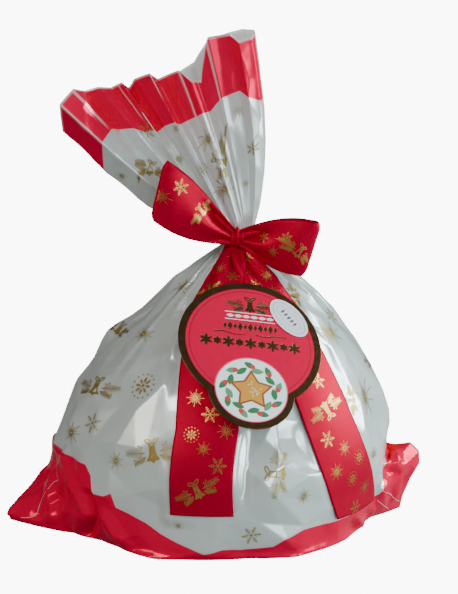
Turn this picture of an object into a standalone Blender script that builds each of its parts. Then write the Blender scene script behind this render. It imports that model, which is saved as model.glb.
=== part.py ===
"""Gift-wrapped panettone: a film bag shut round the cake, its top gathered into a neck and left standing
as a fan, a satin ribbon tied round the neck with two loops and two tails, a die-cut card tag that leans
on the tails, and an oval paper seal on the tag.

Metres, +X right, -Y front, +Z up. The origin is the middle of the flat base, on the floor.
"""

import math

import bmesh
import bpy
import numpy as np
from mathutils import Matrix

MM = 0.001

# Bag body: a round cushion that narrows to the tied neck.
BODY_RADIUS = 120 * MM
WIDEST_HEIGHT = 47 * MM
BASE_RADIUS = 112 * MM
SHOULDER_TOP = 190 * MM
SHOULDER_POWER = 1.75  # the higher, the fuller the shoulder
NECK_RADIUS = 9.5 * MM
NECK_DEPTH_SHARE = 0.88  # the gathered neck is a little flatter front to back
NECK_TOP = 202 * MM
NECK_X = 11.3 * MM  # the neck leans to the right of the base
BASE_X = -0.7 * MM
PUCKER = 1.3 * MM  # depth of the film's soft gathers round the body
GATHERS = ((7, 1.0, 5.0, 0.0), (11, 0.8, 0.0, 1.3))  # count, strength, twist on the way up, start
GATHERS_FROM = 0.12  # share of the shoulder's height below which the film is smooth
FILM = 0.8 * MM  # wall of the fan, thickened so that it makes a solid

# The bag's outline on the floor: (degrees round from the front, radius), felt up to a low height.
FOOT = ((-180, 108), (-150, 111), (-118, 107), (-90, 112), (-54, 115), (-43, 109), (-29, 116), (-21, 118),
        (0, 112), (10, 113), (25, 117), (41, 112), (54, 108), (74, 107), (95, 112), (122, 108), (150, 112),
        (180, 108))
FOOT_REACH = 36 * MM

# Bottom corners of the flat bag, flattened into ears: the way each points, then (radius, height)
# of its ridge from the floor up to where it runs back into the body.
LEFT_EAR = {
    "turn": math.radians(-167),
    "half_width": math.radians(21),
    "top": 52 * MM,
    "ridge": ((151, 0), (153, 4), (147, 11), (138, 19), (130, 26), (123, 33), (119.5, 41), (119.9, 52)),
}
RIGHT_EAR = {
    "turn": math.radians(-4),
    "half_width": math.radians(17),
    "top": 58 * MM,
    "ridge": ((131, 0), (133, 9), (138, 22), (145, 34), (144, 43), (137, 49), (129, 46), (123, 36),
              (120, 42), (119.5, 58)),
}

# Fan: its top edge as (degrees from upright, reach from the neck, forward lean, sideways bow on the
# way up), from the right corner along the front layer to the left corner, and back along the rear.
FAN_FRONT = (
    (5.4, 140, 3, 9.5), (4.3, 137, 13, 9), (0.6, 134, 17, 7), (-1.9, 139, 12, 5), (-8.1, 138, 13, 2),
    (-12.8, 110, 9, 2), (-16.1, 112, 11, 1), (-18.7, 121, 6, 0), (-26.5, 121, -2, 0), (-27.7, 127, 8, 0),
    (-32.5, 129, 0, 0), (-36.1, 126, -6, 0), (-36.5, 132, 2, 0), (-40.2, 134, -6, 0), (-42.7, 140, -3, 0),
    (-46.4, 145, -5, -1), (-47.4, 151, 5, -2), (-52.5, 151, 17, -3), (-58.5, 140, -1, -10),
)
FAN_REAR = (
    (-51.0, 147, -11, -6), (-43.5, 135, -15, -2), (-36.6, 127, -14, 0), (-28.1, 120, -12, 0),
    (-18.8, 120, -13, 0), (-13.8, 123, -12, 2), (-8.3, 136, -12, 3), (1.6, 142, -12, 6), (4.9, 142, -8, 9),
)
FAN_ROOT = 196 * MM  # height that the fan's reach is measured from
FAN_BOW_POWER = 0.8  # under 1, so that the bow is strongest below the middle
FAN_HOLLOW = 0.3  # share of the reach below which the gathered film is closed
FAN_FLOOR_DROP = 6 * MM  # how far the closed root dips below its ring

# Ribbon: one satin strip, tied round the neck.
RIBBON_WIDTH = 41 * MM
RIBBON = 0.9 * MM
RIBBON_GAP = 2.2 * MM
BAND_HEIGHT = 8.5 * MM
BAND_MIDDLE = 196 * MM
KNOT_SIZE = (8 * MM, 7.5 * MM, 8 * MM)
KNOT_AT = (11.5 * MM, -18 * MM, 197 * MM)
TAIL_TOP = 192 * MM
TAIL_RISE = (160 * MM, 190 * MM, 8 * MM)  # from and to, and how far it rises off the body to the knot
RIGHT_TAIL_WIDENS = (110 * MM, 30 * MM, 0.2)  # from and to, and by what share, as it lies askew below
LEFT_TAIL = {  # heights of the rows, and how far each row's middle is turned from the front
    "end": 32 * MM,
    "lift": 0.0,
    "turns": ((32, -5.4), (86, -6.2), (105, -8.3), (122, -10.5), (158, -15), (170, -15), (192, -6)),
}
RIGHT_TAIL = {
    "end": 20 * MM,
    "lift": 1.1 * MM,
    "turns": ((20, 52), (51, 45.5), (70, 41.7), (86, 38.8), (101, 36.7), (127, 31.5), (155, 26),
              (172, 24), (192, 6)),
}
TAIL_SHARES = ((20, 1), (150, 1), (158, 0.9), (168, 0.72), (179, 0.58), (192, 0.3))  # of the width
# Loops: the way and distance out from the knot (x, z), the fold's lean from upright, its width and depth.
LEFT_LOOP = {"out": (-54 * MM, 34 * MM), "lean": math.radians(14), "width": 41 * MM, "depth": 13 * MM}
RIGHT_LOOP = {"out": (52 * MM, -6 * MM), "lean": math.radians(17), "width": 38 * MM, "depth": 14 * MM}
LOOP_ROOT_SHARE = 0.24  # of its width, where it comes out of the knot
LOOP_FULL_AT = 0.8  # share of the way out at which it reaches its full width
LOOP_FORWARD = (2 * MM, 9 * MM)  # how far it lies in front of the knot's middle, at its root and its end
LOOP_SLOWING = 1.6  # over 1, so that the rows crowd at the fold

# Tag: a disc with a smaller disc let into its lower edge, leaning on the tails.
TAG_RADIUS = 48 * MM
TAG_LOBE_RADIUS = 28.5 * MM
TAG_LOBE_DROP = 36 * MM
TAG = 0.8 * MM
TAG_AT = (19.8 * MM, -79.4 * MM, 136.2 * MM)
TAG_LEAN = math.radians(45)  # back from upright
TAG_FACING = math.radians(17)  # to the right of the front
TAG_ROLL = math.radians(12)  # clockwise, seen from the front

# Seal: an oval sticker across the tag's upper right edge.
SEAL_LENGTH = 33 * MM
SEAL_WIDTH = 19 * MM
SEAL = 0.5 * MM
SEAL_AT = (26.5 * MM, 23.5 * MM)  # on the tag, right and up of its middle
SEAL_TURN = math.radians(-50)
GAP = 0.3 * MM

# Grids of the surfaces.
FAN_STEPS = 3  # columns between two points of the fan's edge
EAR_ROWS = 14
SHOULDER_ROWS = 15
SHOULDER_CROWDING = 1.15  # over 1, so that the rows crowd at the neck
FAN_ROWS = 8
FLOOR_RING_SHARE = 0.6
TAIL_GRID = (30, 9)
LOOP_GRID = (27, 7)


def clear_scene():
    for obj in list(bpy.data.objects):
        bpy.data.objects.remove(obj, do_unlink=True)


def new_collection(name):
    collection = bpy.data.collections.new(name)
    bpy.context.scene.collection.children.link(collection)
    return collection


def material(name, colour, roughness, metallic=0.0):
    made = bpy.data.materials.new(name)
    made.use_nodes = True
    shader = made.node_tree.nodes["Principled BSDF"]
    shader.inputs["Base Color"].default_value = (*colour, 1)
    shader.inputs["Roughness"].default_value = roughness
    shader.inputs["Metallic"].default_value = metallic
    made.diffuse_color = (*colour, 1)
    return made


def mesh_object(name, points, faces, collection):
    """An object of these points and faces, its faces turned outwards."""
    mesh = bpy.data.meshes.new(name)
    mesh.from_pydata([tuple(p) for p in points], [], faces)
    obj = bpy.data.objects.new(name, mesh)
    collection.objects.link(obj)
    turned = bmesh.new()
    turned.from_mesh(mesh)
    bmesh.ops.recalc_face_normals(turned, faces=turned.faces)
    turned.to_mesh(mesh)
    turned.free()
    mesh.shade_smooth()
    return obj


def grid_faces(rows, columns, closed):
    """Quads between neighbouring rows of a grid, all the way round where it is closed."""
    last = columns if closed else columns - 1
    return [
        (r * columns + c, r * columns + (c + 1) % columns,
         (r + 1) * columns + (c + 1) % columns, (r + 1) * columns + c)
        for r in range(rows - 1)
        for c in range(last)
    ]


def smooth_step(t):
    t = np.clip(t, 0, 1)
    return t * t * (3 - 2 * t)


def along(keys, at):
    """The keyed values, joined by straight lines, at these places. Keys are (place, value)."""
    places, values = zip(*keys)
    return np.interp(at, places, values)


# ---------------------------------------------------------------- bag


def body_radius(height):
    """Radius of the round body: a curved side below its widest height, a shoulder power law above."""
    low = BODY_RADIUS - (BODY_RADIUS - BASE_RADIUS) * (1 - height / WIDEST_HEIGHT) ** 2
    share = np.clip((height - WIDEST_HEIGHT) / (SHOULDER_TOP - WIDEST_HEIGHT), 0, 1)
    high = NECK_RADIUS + (BODY_RADIUS - NECK_RADIUS) * (1 - share**SHOULDER_POWER)
    return np.where(height < WIDEST_HEIGHT, low, high)


def body_middle(height):
    """The x of the body's axis, which drifts to the right on its way up."""
    share = (height - WIDEST_HEIGHT) / (0.72 * (SHOULDER_TOP - WIDEST_HEIGHT))
    return BASE_X + (NECK_X - BASE_X) * smooth_step(share)


def fan_keys():
    """The fan's edge, from its right corner round the front to the left corner and back."""
    return np.array(FAN_FRONT + FAN_REAR)


def column_turns():
    """The angle round the body of each column, clockwise seen from above, from +X."""
    front = (len(FAN_FRONT) - 1) * FAN_STEPS
    rear = (len(FAN_REAR) + 1) * FAN_STEPS
    return -np.concatenate([
        np.linspace(0, math.pi, front, endpoint=False),
        np.linspace(math.pi, 2 * math.pi, rear, endpoint=False),
    ])


def rim_values():
    """Lean, reach, forward lean and bow of the fan's edge, one of each for every column."""
    keys = fan_keys()
    share = np.arange(len(keys) * FAN_STEPS) / FAN_STEPS
    after = np.vstack([keys, keys[:1]])
    return [np.interp(share, np.arange(len(after)), after[:, k]) for k in range(4)]


def fan_rows(neck):
    """Rings from the gathered neck to the fan's edge: straight runs that bow out to the sides."""
    lean, reach, forward, bow = rim_values()
    lean = np.radians(lean)
    rim = np.stack([
        NECK_X + reach * MM * np.sin(lean),
        -forward * MM,
        FAN_ROOT + reach * MM * np.cos(lean),
    ], axis=1)
    aside = np.stack([np.cos(lean), 0 * lean, -np.sin(lean)], axis=1) * bow[:, None] * MM
    shares = np.linspace(0, 1, FAN_ROWS + 1)[1:]
    return [neck + (rim - neck) * t + aside * math.sin(math.pi * t**FAN_BOW_POWER) for t in shares]


def ear_share(ear, turns):
    """1 along the ear's ridge, falling to 0 at its two sides."""
    off = (turns - ear["turn"] + math.pi) % (2 * math.pi) - math.pi
    return np.clip(1 - np.abs(off) / ear["half_width"], 0, 1)


def body_row(height, turns):
    """One ring of the body at this height, with its gathers, and with the ears drawn out of it."""
    share = height / SHOULDER_TOP
    gathers = sum(
        strength * np.cos(count * turns + twist * share + start) for count, strength, twist, start in GATHERS
    )
    loose = min(max(share - GATHERS_FROM, 0) / (1 - GATHERS_FROM), 1)
    from_front = (np.degrees(turns) + 270) % 360 - 180
    foot = along(FOOT, from_front) * MM - BASE_RADIUS
    radius = body_radius(height) + PUCKER * gathers * math.sin(math.pi * loose)
    radius = radius + foot * max(1 - height / FOOT_REACH, 0) ** 1.5
    flat = 1 - (1 - NECK_DEPTH_SHARE) * smooth_step((share - 0.8) / 0.2)
    x = body_middle(height) + radius * np.cos(turns)
    y = radius * flat * np.sin(turns)
    z = np.full_like(x, height)
    for ear in (LEFT_EAR, RIGHT_EAR):
        if height >= ear["top"]:
            continue
        part = ear_share(ear, turns)
        ridge = np.array(ear["ridge"]) * MM
        steps = np.linspace(0, ear["top"], len(ridge))
        reach = np.interp(height, steps, ridge[:, 0])
        rise = np.interp(height, steps, ridge[:, 1])
        x = x + part * (BASE_X + reach * np.cos(turns) - x)
        y = y + part * (reach * np.sin(turns) - y)
        z = z + part * (rise - z)
    return np.stack([x, y, z], axis=1)


def outer_rows():
    """The bag's outside from the floor to the fan's edge, as a stack of rings."""
    turns = column_turns()
    ear_top = max(LEFT_EAR["top"], RIGHT_EAR["top"])
    down = np.linspace(1, 0, SHOULDER_ROWS + 1)[1:]
    heights = np.concatenate([
        np.linspace(0, ear_top, EAR_ROWS),
        SHOULDER_TOP - (SHOULDER_TOP - ear_top) * down**SHOULDER_CROWDING,
        [0.5 * (SHOULDER_TOP + NECK_TOP), NECK_TOP],
    ])
    rows = [body_row(height, turns) for height in heights]
    return rows + fan_rows(rows[-1])


def inner_rows(rows):
    """The inside of the open fan: its outside moved in by the film's wall, down to the closed root."""
    shell = np.array(rows[-(FAN_ROWS + 1):])
    along_row = np.roll(shell, -1, axis=1) - np.roll(shell, 1, axis=1)
    up = np.gradient(shell, axis=0)
    normal = np.cross(along_row, up)
    normal /= np.linalg.norm(normal, axis=2, keepdims=True)
    middle = shell.mean(axis=1, keepdims=True)
    if (normal * (shell - middle)).sum() > 0:
        normal = -normal
    inside = shell + normal * FILM
    shares = np.linspace(0, 1, FAN_ROWS + 1)
    return [inside[k] for k in range(FAN_ROWS, 0, -1) if shares[k] > FAN_HOLLOW]


def build_bag(collection):
    outside = outer_rows()
    inside = inner_rows(outside)
    flat_ring = outside[0] * (FLOOR_RING_SHARE, FLOOR_RING_SHARE, 1)
    rows = [flat_ring, *outside, *inside]
    columns = len(rows[0])
    points = np.concatenate(rows)
    faces = grid_faces(len(rows), columns, closed=True)
    foot, root = len(points), len(points) + 1
    points = np.vstack([points, (0, 0, 0), inside[-1].mean(axis=0) - (0, 0, FAN_FLOOR_DROP)])
    start = (len(rows) - 1) * columns
    faces += [(foot, c, (c + 1) % columns) for c in range(columns)]
    faces += [(root, start + (c + 1) % columns, start + c) for c in range(columns)]
    bag = mesh_object("bag", points, faces, collection)
    bag.data.materials.append(material("pearl film", (0.42, 0.42, 0.38), 0.25))
    return bag


# ---------------------------------------------------------------- ribbon


def solid_strip(name, rows, collection):
    """A ribbon's open surface given its thickness, as a closed mesh."""
    points = np.concatenate(rows)
    strip = mesh_object(name, points, grid_faces(len(rows), len(rows[0]), closed=False), collection)
    thicken = strip.modifiers.new("Thickness", "SOLIDIFY")
    thicken.thickness = RIBBON
    thicken.offset = 0
    return strip


def tail_rows(tail):
    """A tail that hangs from the knot and hugs the body: level rows, each part of a ring round it."""
    row_count, column_count = TAIL_GRID
    rise_from, rise_to, rise = TAIL_RISE
    widens_from, widens_to, widens = RIGHT_TAIL_WIDENS
    rows = []
    for height in np.linspace(TAIL_TOP, tail["end"], row_count):
        millimetres = height / MM
        risen = smooth_step((height - rise_from) / (rise_to - rise_from))
        stand_off = RIBBON_GAP + tail["lift"] + rise * risen
        radius = body_radius(height) + stand_off
        middle = math.radians(along(tail["turns"], millimetres)) - math.pi / 2
        half = 0.5 * RIBBON_WIDTH * along(TAIL_SHARES, millimetres) / radius
        if tail is RIGHT_TAIL:
            half *= 1 + widens * smooth_step((widens_from - height) / (widens_from - widens_to))
        turns = np.linspace(middle - half, middle + half, column_count)
        rows.append(np.stack([
            body_middle(height) + radius * np.cos(turns),
            radius * np.sin(turns),
            np.full_like(turns, height),
        ], axis=1))
    return rows


def loop_rows(loop):
    """A loop: out from the knot in front, round its fold and back behind, widest at the fold."""
    row_count, column_count = LOOP_GRID
    x0, y0, z0 = KNOT_AT
    out_x, out_z = loop["out"]
    root_forward, end_forward = LOOP_FORWARD
    rows = []
    for share in np.linspace(-1, 1, row_count):
        run = math.sin(0.5 * math.pi * (1 - abs(share) ** LOOP_SLOWING))
        opened = math.sin(0.5 * math.pi * min(run / LOOP_FULL_AT, 1))
        widen = LOOP_ROOT_SHARE + (1 - LOOP_ROOT_SHARE) * opened
        half = 0.5 * loop["width"] * widen * np.linspace(-1, 1, column_count)
        lean = loop["lean"] * smooth_step(run)
        depth = 0.5 * loop["depth"] * math.sin(math.pi * share) * (0.35 + 0.65 * run)
        rows.append(np.stack([
            x0 + out_x * run + half * math.sin(lean),
            np.full_like(half, y0 - root_forward - end_forward * run + depth),
            z0 + out_z * run + half * math.cos(lean),
        ], axis=1))
    return rows


def build_band(collection):
    """The turn of ribbon round the neck, a short oval tube just clear of the gathered film."""
    inside = NECK_RADIUS + 2 * GAP
    points = [
        (inside, 0, BAND_MIDDLE + 0.5 * BAND_HEIGHT),
        (inside, 0, BAND_MIDDLE - 0.5 * BAND_HEIGHT),
    ]
    mesh = bpy.data.meshes.new("band")
    mesh.from_pydata(points, [(0, 1)], [])
    band = bpy.data.objects.new("band", mesh)
    collection.objects.link(band)
    turn = band.modifiers.new("Turn", "SCREW")
    turn.steps = turn.render_steps = 48
    turn.use_merge_vertices = True
    turn.merge_threshold = 1e-6
    thicken = band.modifiers.new("Thickness", "SOLIDIFY")
    thicken.thickness = RIBBON
    thicken.offset = 1
    band.location.x = NECK_X
    return band


def build_knot(collection):
    bpy.ops.mesh.primitive_uv_sphere_add(segments=24, ring_count=14, radius=1, location=KNOT_AT)
    knot = bpy.context.object
    knot.scale = KNOT_SIZE
    bpy.ops.object.transform_apply(location=False, rotation=False, scale=True)
    for holder in list(knot.users_collection):
        holder.objects.unlink(knot)
    collection.objects.link(knot)
    return knot


def build_ribbon(collection):
    """The strip's stretches, joined into one solid by a union."""
    pieces = new_collection("ribbon stretches")
    solid_strip("left tail", tail_rows(LEFT_TAIL), pieces)
    solid_strip("right tail", tail_rows(RIGHT_TAIL), pieces)
    solid_strip("left loop", loop_rows(LEFT_LOOP), pieces)
    solid_strip("right loop", loop_rows(RIGHT_LOOP), pieces)
    build_band(pieces)
    knot = build_knot(collection)
    knot.name = "ribbon"
    join = knot.modifiers.new("Join", "BOOLEAN")
    join.operation = "UNION"
    join.operand_type = "COLLECTION"
    join.collection = pieces
    join.solver = "EXACT"
    bpy.context.view_layer.update()
    joined = bpy.data.meshes.new_from_object(knot.evaluated_get(bpy.context.evaluated_depsgraph_get()))
    knot.modifiers.clear()
    knot.data = joined
    for obj in list(pieces.objects):
        bpy.data.objects.remove(obj, do_unlink=True)
    bpy.data.collections.remove(pieces)
    joined.shade_smooth()
    joined.materials.clear()
    joined.materials.append(material("red satin", (0.45, 0.012, 0.03), 0.35))
    return knot


# ---------------------------------------------------------------- tag and seal


def tag_outline():
    """A disc and a smaller disc over its lower edge: two arcs that meet in two notches."""
    drop, big, small = TAG_LOBE_DROP, TAG_RADIUS, TAG_LOBE_RADIUS
    notch_y = -(drop**2 + big**2 - small**2) / (2 * drop)
    notch_x = math.sqrt(big**2 - notch_y**2)
    big_start = math.atan2(notch_y, notch_x)
    small_start = math.atan2(notch_y + drop, notch_x)
    upper = np.linspace(big_start, math.pi - big_start, 61)
    lower = np.linspace(math.pi - small_start, 2 * math.pi + small_start, 41)[1:-1]
    return np.concatenate([
        np.stack([big * np.cos(upper), big * np.sin(upper)], axis=1),
        np.stack([small * np.cos(lower), small * np.sin(lower) - drop], axis=1),
    ])


def oval_outline():
    turns = np.linspace(0, 2 * math.pi, 48, endpoint=False)
    return np.stack([0.5 * SEAL_LENGTH * np.cos(turns), 0.5 * SEAL_WIDTH * np.sin(turns)], axis=1)


def flat_plate(name, outline, thickness, place, collection):
    """A flat outline made a plate, as a mesh, standing where the place matrix puts it."""
    curve = bpy.data.curves.new(name, "CURVE")
    curve.dimensions = "2D"
    curve.fill_mode = "BOTH"
    curve.extrude = 0.5 * thickness
    spline = curve.splines.new("POLY")
    spline.points.add(len(outline) - 1)
    flat = np.zeros(len(outline))
    spline.points.foreach_set("co", np.column_stack([outline, flat, flat + 1]).ravel())
    spline.use_cyclic_u = True
    drawn = bpy.data.objects.new(name + " outline", curve)
    collection.objects.link(drawn)
    bpy.context.view_layer.update()
    mesh = bpy.data.meshes.new_from_object(drawn.evaluated_get(bpy.context.evaluated_depsgraph_get()))
    bpy.data.objects.remove(drawn, do_unlink=True)
    welded = bmesh.new()
    welded.from_mesh(mesh)
    bmesh.ops.remove_doubles(welded, verts=welded.verts, dist=1e-6)
    bmesh.ops.recalc_face_normals(welded, faces=welded.faces)
    welded.to_mesh(mesh)
    welded.free()
    plate = bpy.data.objects.new(name, mesh)
    collection.objects.link(plate)
    plate.matrix_world = place
    mesh.materials.clear()
    return plate


def tag_axes():
    """The tag's own right, up and outward directions."""
    fall = np.array([
        math.sin(TAG_FACING) * math.sin(TAG_LEAN),
        -math.cos(TAG_FACING) * math.sin(TAG_LEAN),
        -math.cos(TAG_LEAN),
    ])
    level = np.array([math.cos(TAG_FACING), math.sin(TAG_FACING), 0.0])
    right = level * math.cos(TAG_ROLL) + fall * math.sin(TAG_ROLL)
    up = -fall * math.cos(TAG_ROLL) + level * math.sin(TAG_ROLL)
    return right, up, np.cross(right, up)


def place_on_tag(across, along_up, out, turn=0.0):
    """Where a flat piece stands on the tag: right, up and out from the tag's middle, and turned."""
    right, up, outward = tag_axes()
    first = right * math.cos(turn) + up * math.sin(turn)
    second = up * math.cos(turn) - right * math.sin(turn)
    at = np.array(TAG_AT) + right * across + up * along_up + outward * out
    place = Matrix.Identity(4)
    for k, column in enumerate((first, second, outward, at)):
        for row in range(3):
            place[row][k] = column[row]
    return place


def build_tag(collection):
    tag = flat_plate("tag", tag_outline(), TAG, place_on_tag(0, 0, 0), collection)
    tag.data.materials.append(material("red card", (0.55, 0.02, 0.04), 0.4))
    return tag


def build_seal(collection):
    out = 0.5 * TAG + GAP + 0.5 * SEAL
    place = place_on_tag(*SEAL_AT, out, SEAL_TURN)
    seal = flat_plate("seal", oval_outline(), SEAL, place, collection)
    seal.data.materials.append(material("white paper", (0.75, 0.72, 0.72), 0.5))
    return seal


clear_scene()
parts = new_collection("wrapped panettone")
build_bag(parts)
build_ribbon(parts)
build_tag(parts)
build_seal(parts)
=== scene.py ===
import math

import bpy
import numpy as np
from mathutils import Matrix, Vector
from mathutils.geometry import delaunay_2d_cdt


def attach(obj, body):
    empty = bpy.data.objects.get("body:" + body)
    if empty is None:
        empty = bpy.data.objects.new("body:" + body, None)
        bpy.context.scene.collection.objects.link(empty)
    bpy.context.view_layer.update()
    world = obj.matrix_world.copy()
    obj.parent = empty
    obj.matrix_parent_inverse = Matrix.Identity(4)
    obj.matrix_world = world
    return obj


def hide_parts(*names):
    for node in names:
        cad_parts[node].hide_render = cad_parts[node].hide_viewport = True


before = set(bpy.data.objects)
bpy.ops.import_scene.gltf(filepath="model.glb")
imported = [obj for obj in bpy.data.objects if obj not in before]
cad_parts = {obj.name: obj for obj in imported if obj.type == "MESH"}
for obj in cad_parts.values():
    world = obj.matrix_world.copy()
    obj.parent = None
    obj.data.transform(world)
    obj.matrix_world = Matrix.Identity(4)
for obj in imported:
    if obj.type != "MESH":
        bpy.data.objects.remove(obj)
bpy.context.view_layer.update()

# ---------------------------------------------------------------- the view
# A long lens a metre off, ten degrees above level, so that it is as high as the top of the fan and
# sees the tag nearly square on. The stage is a pale floor that runs back into a pale wall.

MM = 0.001
LENS_PIXELS = 1420  # focal length, in pixels of a picture 594 pixels high
PICTURE_HEIGHT = 594
VIEW_DISTANCE = 1.0
VIEW_RISE = math.radians(10)
VIEW_LEVEL = 0.165
AIM = Vector((0.0063, 0, 0.152))

lens = bpy.data.cameras.new("view")
lens.sensor_fit = "VERTICAL"
lens.sensor_height = 36
lens.lens = LENS_PIXELS / PICTURE_HEIGHT * lens.sensor_height
camera = bpy.data.objects.new("view", lens)
bpy.context.scene.collection.objects.link(camera)
camera.location = (
    0,
    -VIEW_DISTANCE * math.cos(VIEW_RISE),
    VIEW_LEVEL + VIEW_DISTANCE * math.sin(VIEW_RISE),
)
camera.rotation_euler = (AIM - camera.location).to_track_quat("-Z", "Y").to_euler()
bpy.context.scene.camera = camera


class Wire:
    """A socket of a material's node, with arithmetic that adds Math nodes."""

    def __init__(self, finish, socket):
        self.finish, self.socket = finish, socket

    def math(self, operation, *values):
        slots = dict(enumerate(values))
        return self.finish.node("ShaderNodeMath", {"operation": operation}, slots)

    def __add__(self, other):
        return self.math("ADD", self, other)

    def __sub__(self, other):
        return self.math("SUBTRACT", self, other)

    def __rsub__(self, other):
        return self.math("SUBTRACT", other, self)

    def __mul__(self, other):
        return self.math("MULTIPLY", self, other)

    def __abs__(self):
        return self.math("ABSOLUTE", self)

    __radd__, __rmul__ = __add__, __mul__

    def above(self, edge, softness):
        """0 below the edge, 1 above it, with a short ramp between."""
        ramp = {"interpolation_type": "SMOOTHSTEP"}
        span = {0: self, 1: edge - softness, 2: edge + softness, 3: 0.0, 4: 1.0}
        return self.finish.node("ShaderNodeMapRange", ramp, span)


class Finish:
    """A Principled material and the nodes that feed it."""

    def __init__(self, name, **constants):
        self.material = bpy.data.materials.new(name)
        self.material.use_nodes = True
        self.tree = self.material.node_tree
        self.shader = self.tree.nodes["Principled BSDF"]
        self.set(**constants)

    def set(self, **values):
        for key, value in values.items():
            self.feed(self.shader.inputs[key.replace("_", " ")], value)

    def feed(self, socket, value):
        if isinstance(value, Wire):
            self.tree.links.new(value.socket, socket)
        elif isinstance(value, tuple) and len(value) == 3 and socket.type == "RGBA":
            socket.default_value = (*value, 1)
        else:
            socket.default_value = value

    def blend(self, share, other):
        """Blends another shader into the surface, by its share."""
        values = {0: share, 1: Wire(self, self.shader.outputs[0]), 2: other}
        both = self.node("ShaderNodeMixShader", {}, values)
        self.feed(self.tree.nodes["Material Output"].inputs["Surface"], both)

    def node(self, kind, settings, values, output=0):
        made = self.tree.nodes.new(kind)
        for key, value in settings.items():
            setattr(made, key, value)
        for key, value in values.items():
            self.feed(made.inputs[key], value)
        return Wire(self, made.outputs[output])

    def mix(self, share, first, second):
        """A blend of two colours."""
        return self.node("ShaderNodeMix", {"data_type": "RGBA"}, {0: share, 6: first, 7: second}, 2)

    def attribute(self, name):
        """A number stored with the piece's vertices."""
        return self.node("ShaderNodeAttribute", {"attribute_name": name}, {}, 2)

    def place(self):
        """Where a point of the piece lies, in metres."""
        return self.node("ShaderNodeTexCoord", {}, {}, 3)

    def map(self):
        """The piece's own map: across and along it."""
        return self.node("ShaderNodeUVMap", {}, {})

    def axes(self, where):
        """The first two coordinates of a place."""
        made = self.tree.nodes.new("ShaderNodeSeparateXYZ")
        self.feed(made.inputs[0], where)
        return Wire(self, made.outputs[0]), Wire(self, made.outputs[1])

    def noise(self, where, scale, detail=2.0, stretch=(1, 1, 1)):
        turned = self.node("ShaderNodeMapping", {}, {0: where, 3: stretch})
        return self.node("ShaderNodeTexNoise", {}, {"Vector": turned, "Scale": scale, "Detail": detail})

    def crinkle(self, where, scale, stretch=(1, 1, 1)):
        """Sharp winding ridges: how far a noise lies from its middle value."""
        return abs(self.noise(where, scale, 1.5, stretch) - 0.5)

    def bump(self, height, distance, strength=1.0, after=None):
        values = {"Height": height, "Distance": distance, "Strength": strength}
        if after is not None:
            values["Normal"] = after
        return self.node("ShaderNodeBump", {}, values)


FLOOR_SIZE = 3.0
STAGE_GLOW, STAGE_WHITENESS = 12.0, 0.8  # how bright the stage looks, and how much of that is seen
STAGE_GREYS = (0.20, 0.20, 0.20), (0.22, 0.22, 0.22)
WALL_RADIUS = 0.8
ROOM_TINT, ROOM_LIGHT = (0.93, 0.96, 0.94, 1), 0.17

ramp = np.linspace(0, math.pi / 2, 13)
bend_y = FLOOR_SIZE - WALL_RADIUS * (1 - np.sin(ramp))
profile = np.concatenate([
    [(-FLOOR_SIZE, 0)],
    np.stack([bend_y, WALL_RADIUS * (1 - np.cos(ramp))], axis=1),
    [(FLOOR_SIZE, FLOOR_SIZE)],
])
sweep = bpy.data.meshes.new("stage")
sweep.from_pydata(
    [(side * 2 * FLOOR_SIZE, y, z) for side in (-1, 1) for y, z in profile], [],
    [(k, k + len(profile), k + len(profile) + 1, k + 1) for k in range(len(profile) - 1)],
)
sweep.shade_smooth()
stage = bpy.data.objects.new("stage", sweep)
bpy.context.scene.collection.objects.link(stage)
paint = Finish("stage paint", Roughness=0.8)
paint.set(Base_Color=paint.mix(paint.noise(paint.place(), 3.0), *STAGE_GREYS))
lit = paint.node("ShaderNodeEmission", {}, {"Color": (1.0, 1.0, 1.0), "Strength": STAGE_GLOW})
seen = paint.node("ShaderNodeLightPath", {}, {}) * STAGE_WHITENESS
paint.blend(seen, lit)
stage.data.materials.append(paint.material)

world = bpy.data.worlds.new("room")
world.use_nodes = True
background = world.node_tree.nodes["Background"]
background.inputs["Color"].default_value = ROOM_TINT
background.inputs["Strength"].default_value = ROOM_LIGHT
bpy.context.scene.world = world


def lamp(name, place, aim, size, power, colour):
    """A rectangular lamp that shines from its place towards its aim."""
    light = bpy.data.lights.new(name, "AREA")
    light.shape = "RECTANGLE"
    light.size, light.size_y = size
    light.energy = power
    light.color = colour
    holder = bpy.data.objects.new(name, light)
    bpy.context.scene.collection.objects.link(holder)
    holder.location = place
    holder.rotation_euler = (Vector(aim) - holder.location).to_track_quat("-Z", "Y").to_euler()


lamp("window", (1.25, 0.15, 0.7), (0, 0, 0.12), (0.5, 1.1), 39, (0.78, 0.96, 1.0))
lamp("room", (0.75, -1.3, 0.45), (0, 0, 0.12), (0.6, 0.9), 10, (0.74, 0.95, 1.0))
lamp("low window", (1.15, -0.55, 0.14), (0, 0, 0.06), (0.4, 0.3), 5, (0.78, 0.95, 1.0))
lamp("skylight", (-0.75, -0.9, 1.25), (0, 0, 0.1), (0.7, 0.35), 8.0, (0.97, 0.98, 1.0))
lamp("left bulb", (-0.6, -1.2, 1.0), (0, 0, 0.15), (0.06, 0.06), 1.2, (1.0, 0.97, 0.92))
lamp("right bulb", (1.0, -1.3, 0.65), (0, 0, 0.15), (0.06, 0.06), 1.2, (0.92, 0.98, 1.0))
lamp("far window", (-1.3, -0.8, 0.75), (0, 0, 0.15), (0.25, 1.0), 5.0, (1.0, 0.98, 0.86))


# ---------------------------------------------------------------- film: the surface of the bag
# One tube of pearl film, folded flat and welded across the bottom. The cake fills its lower half, the
# weld's two ends stick out as ears, and above the tie the loose film opens into a crumpled fan.

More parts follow.
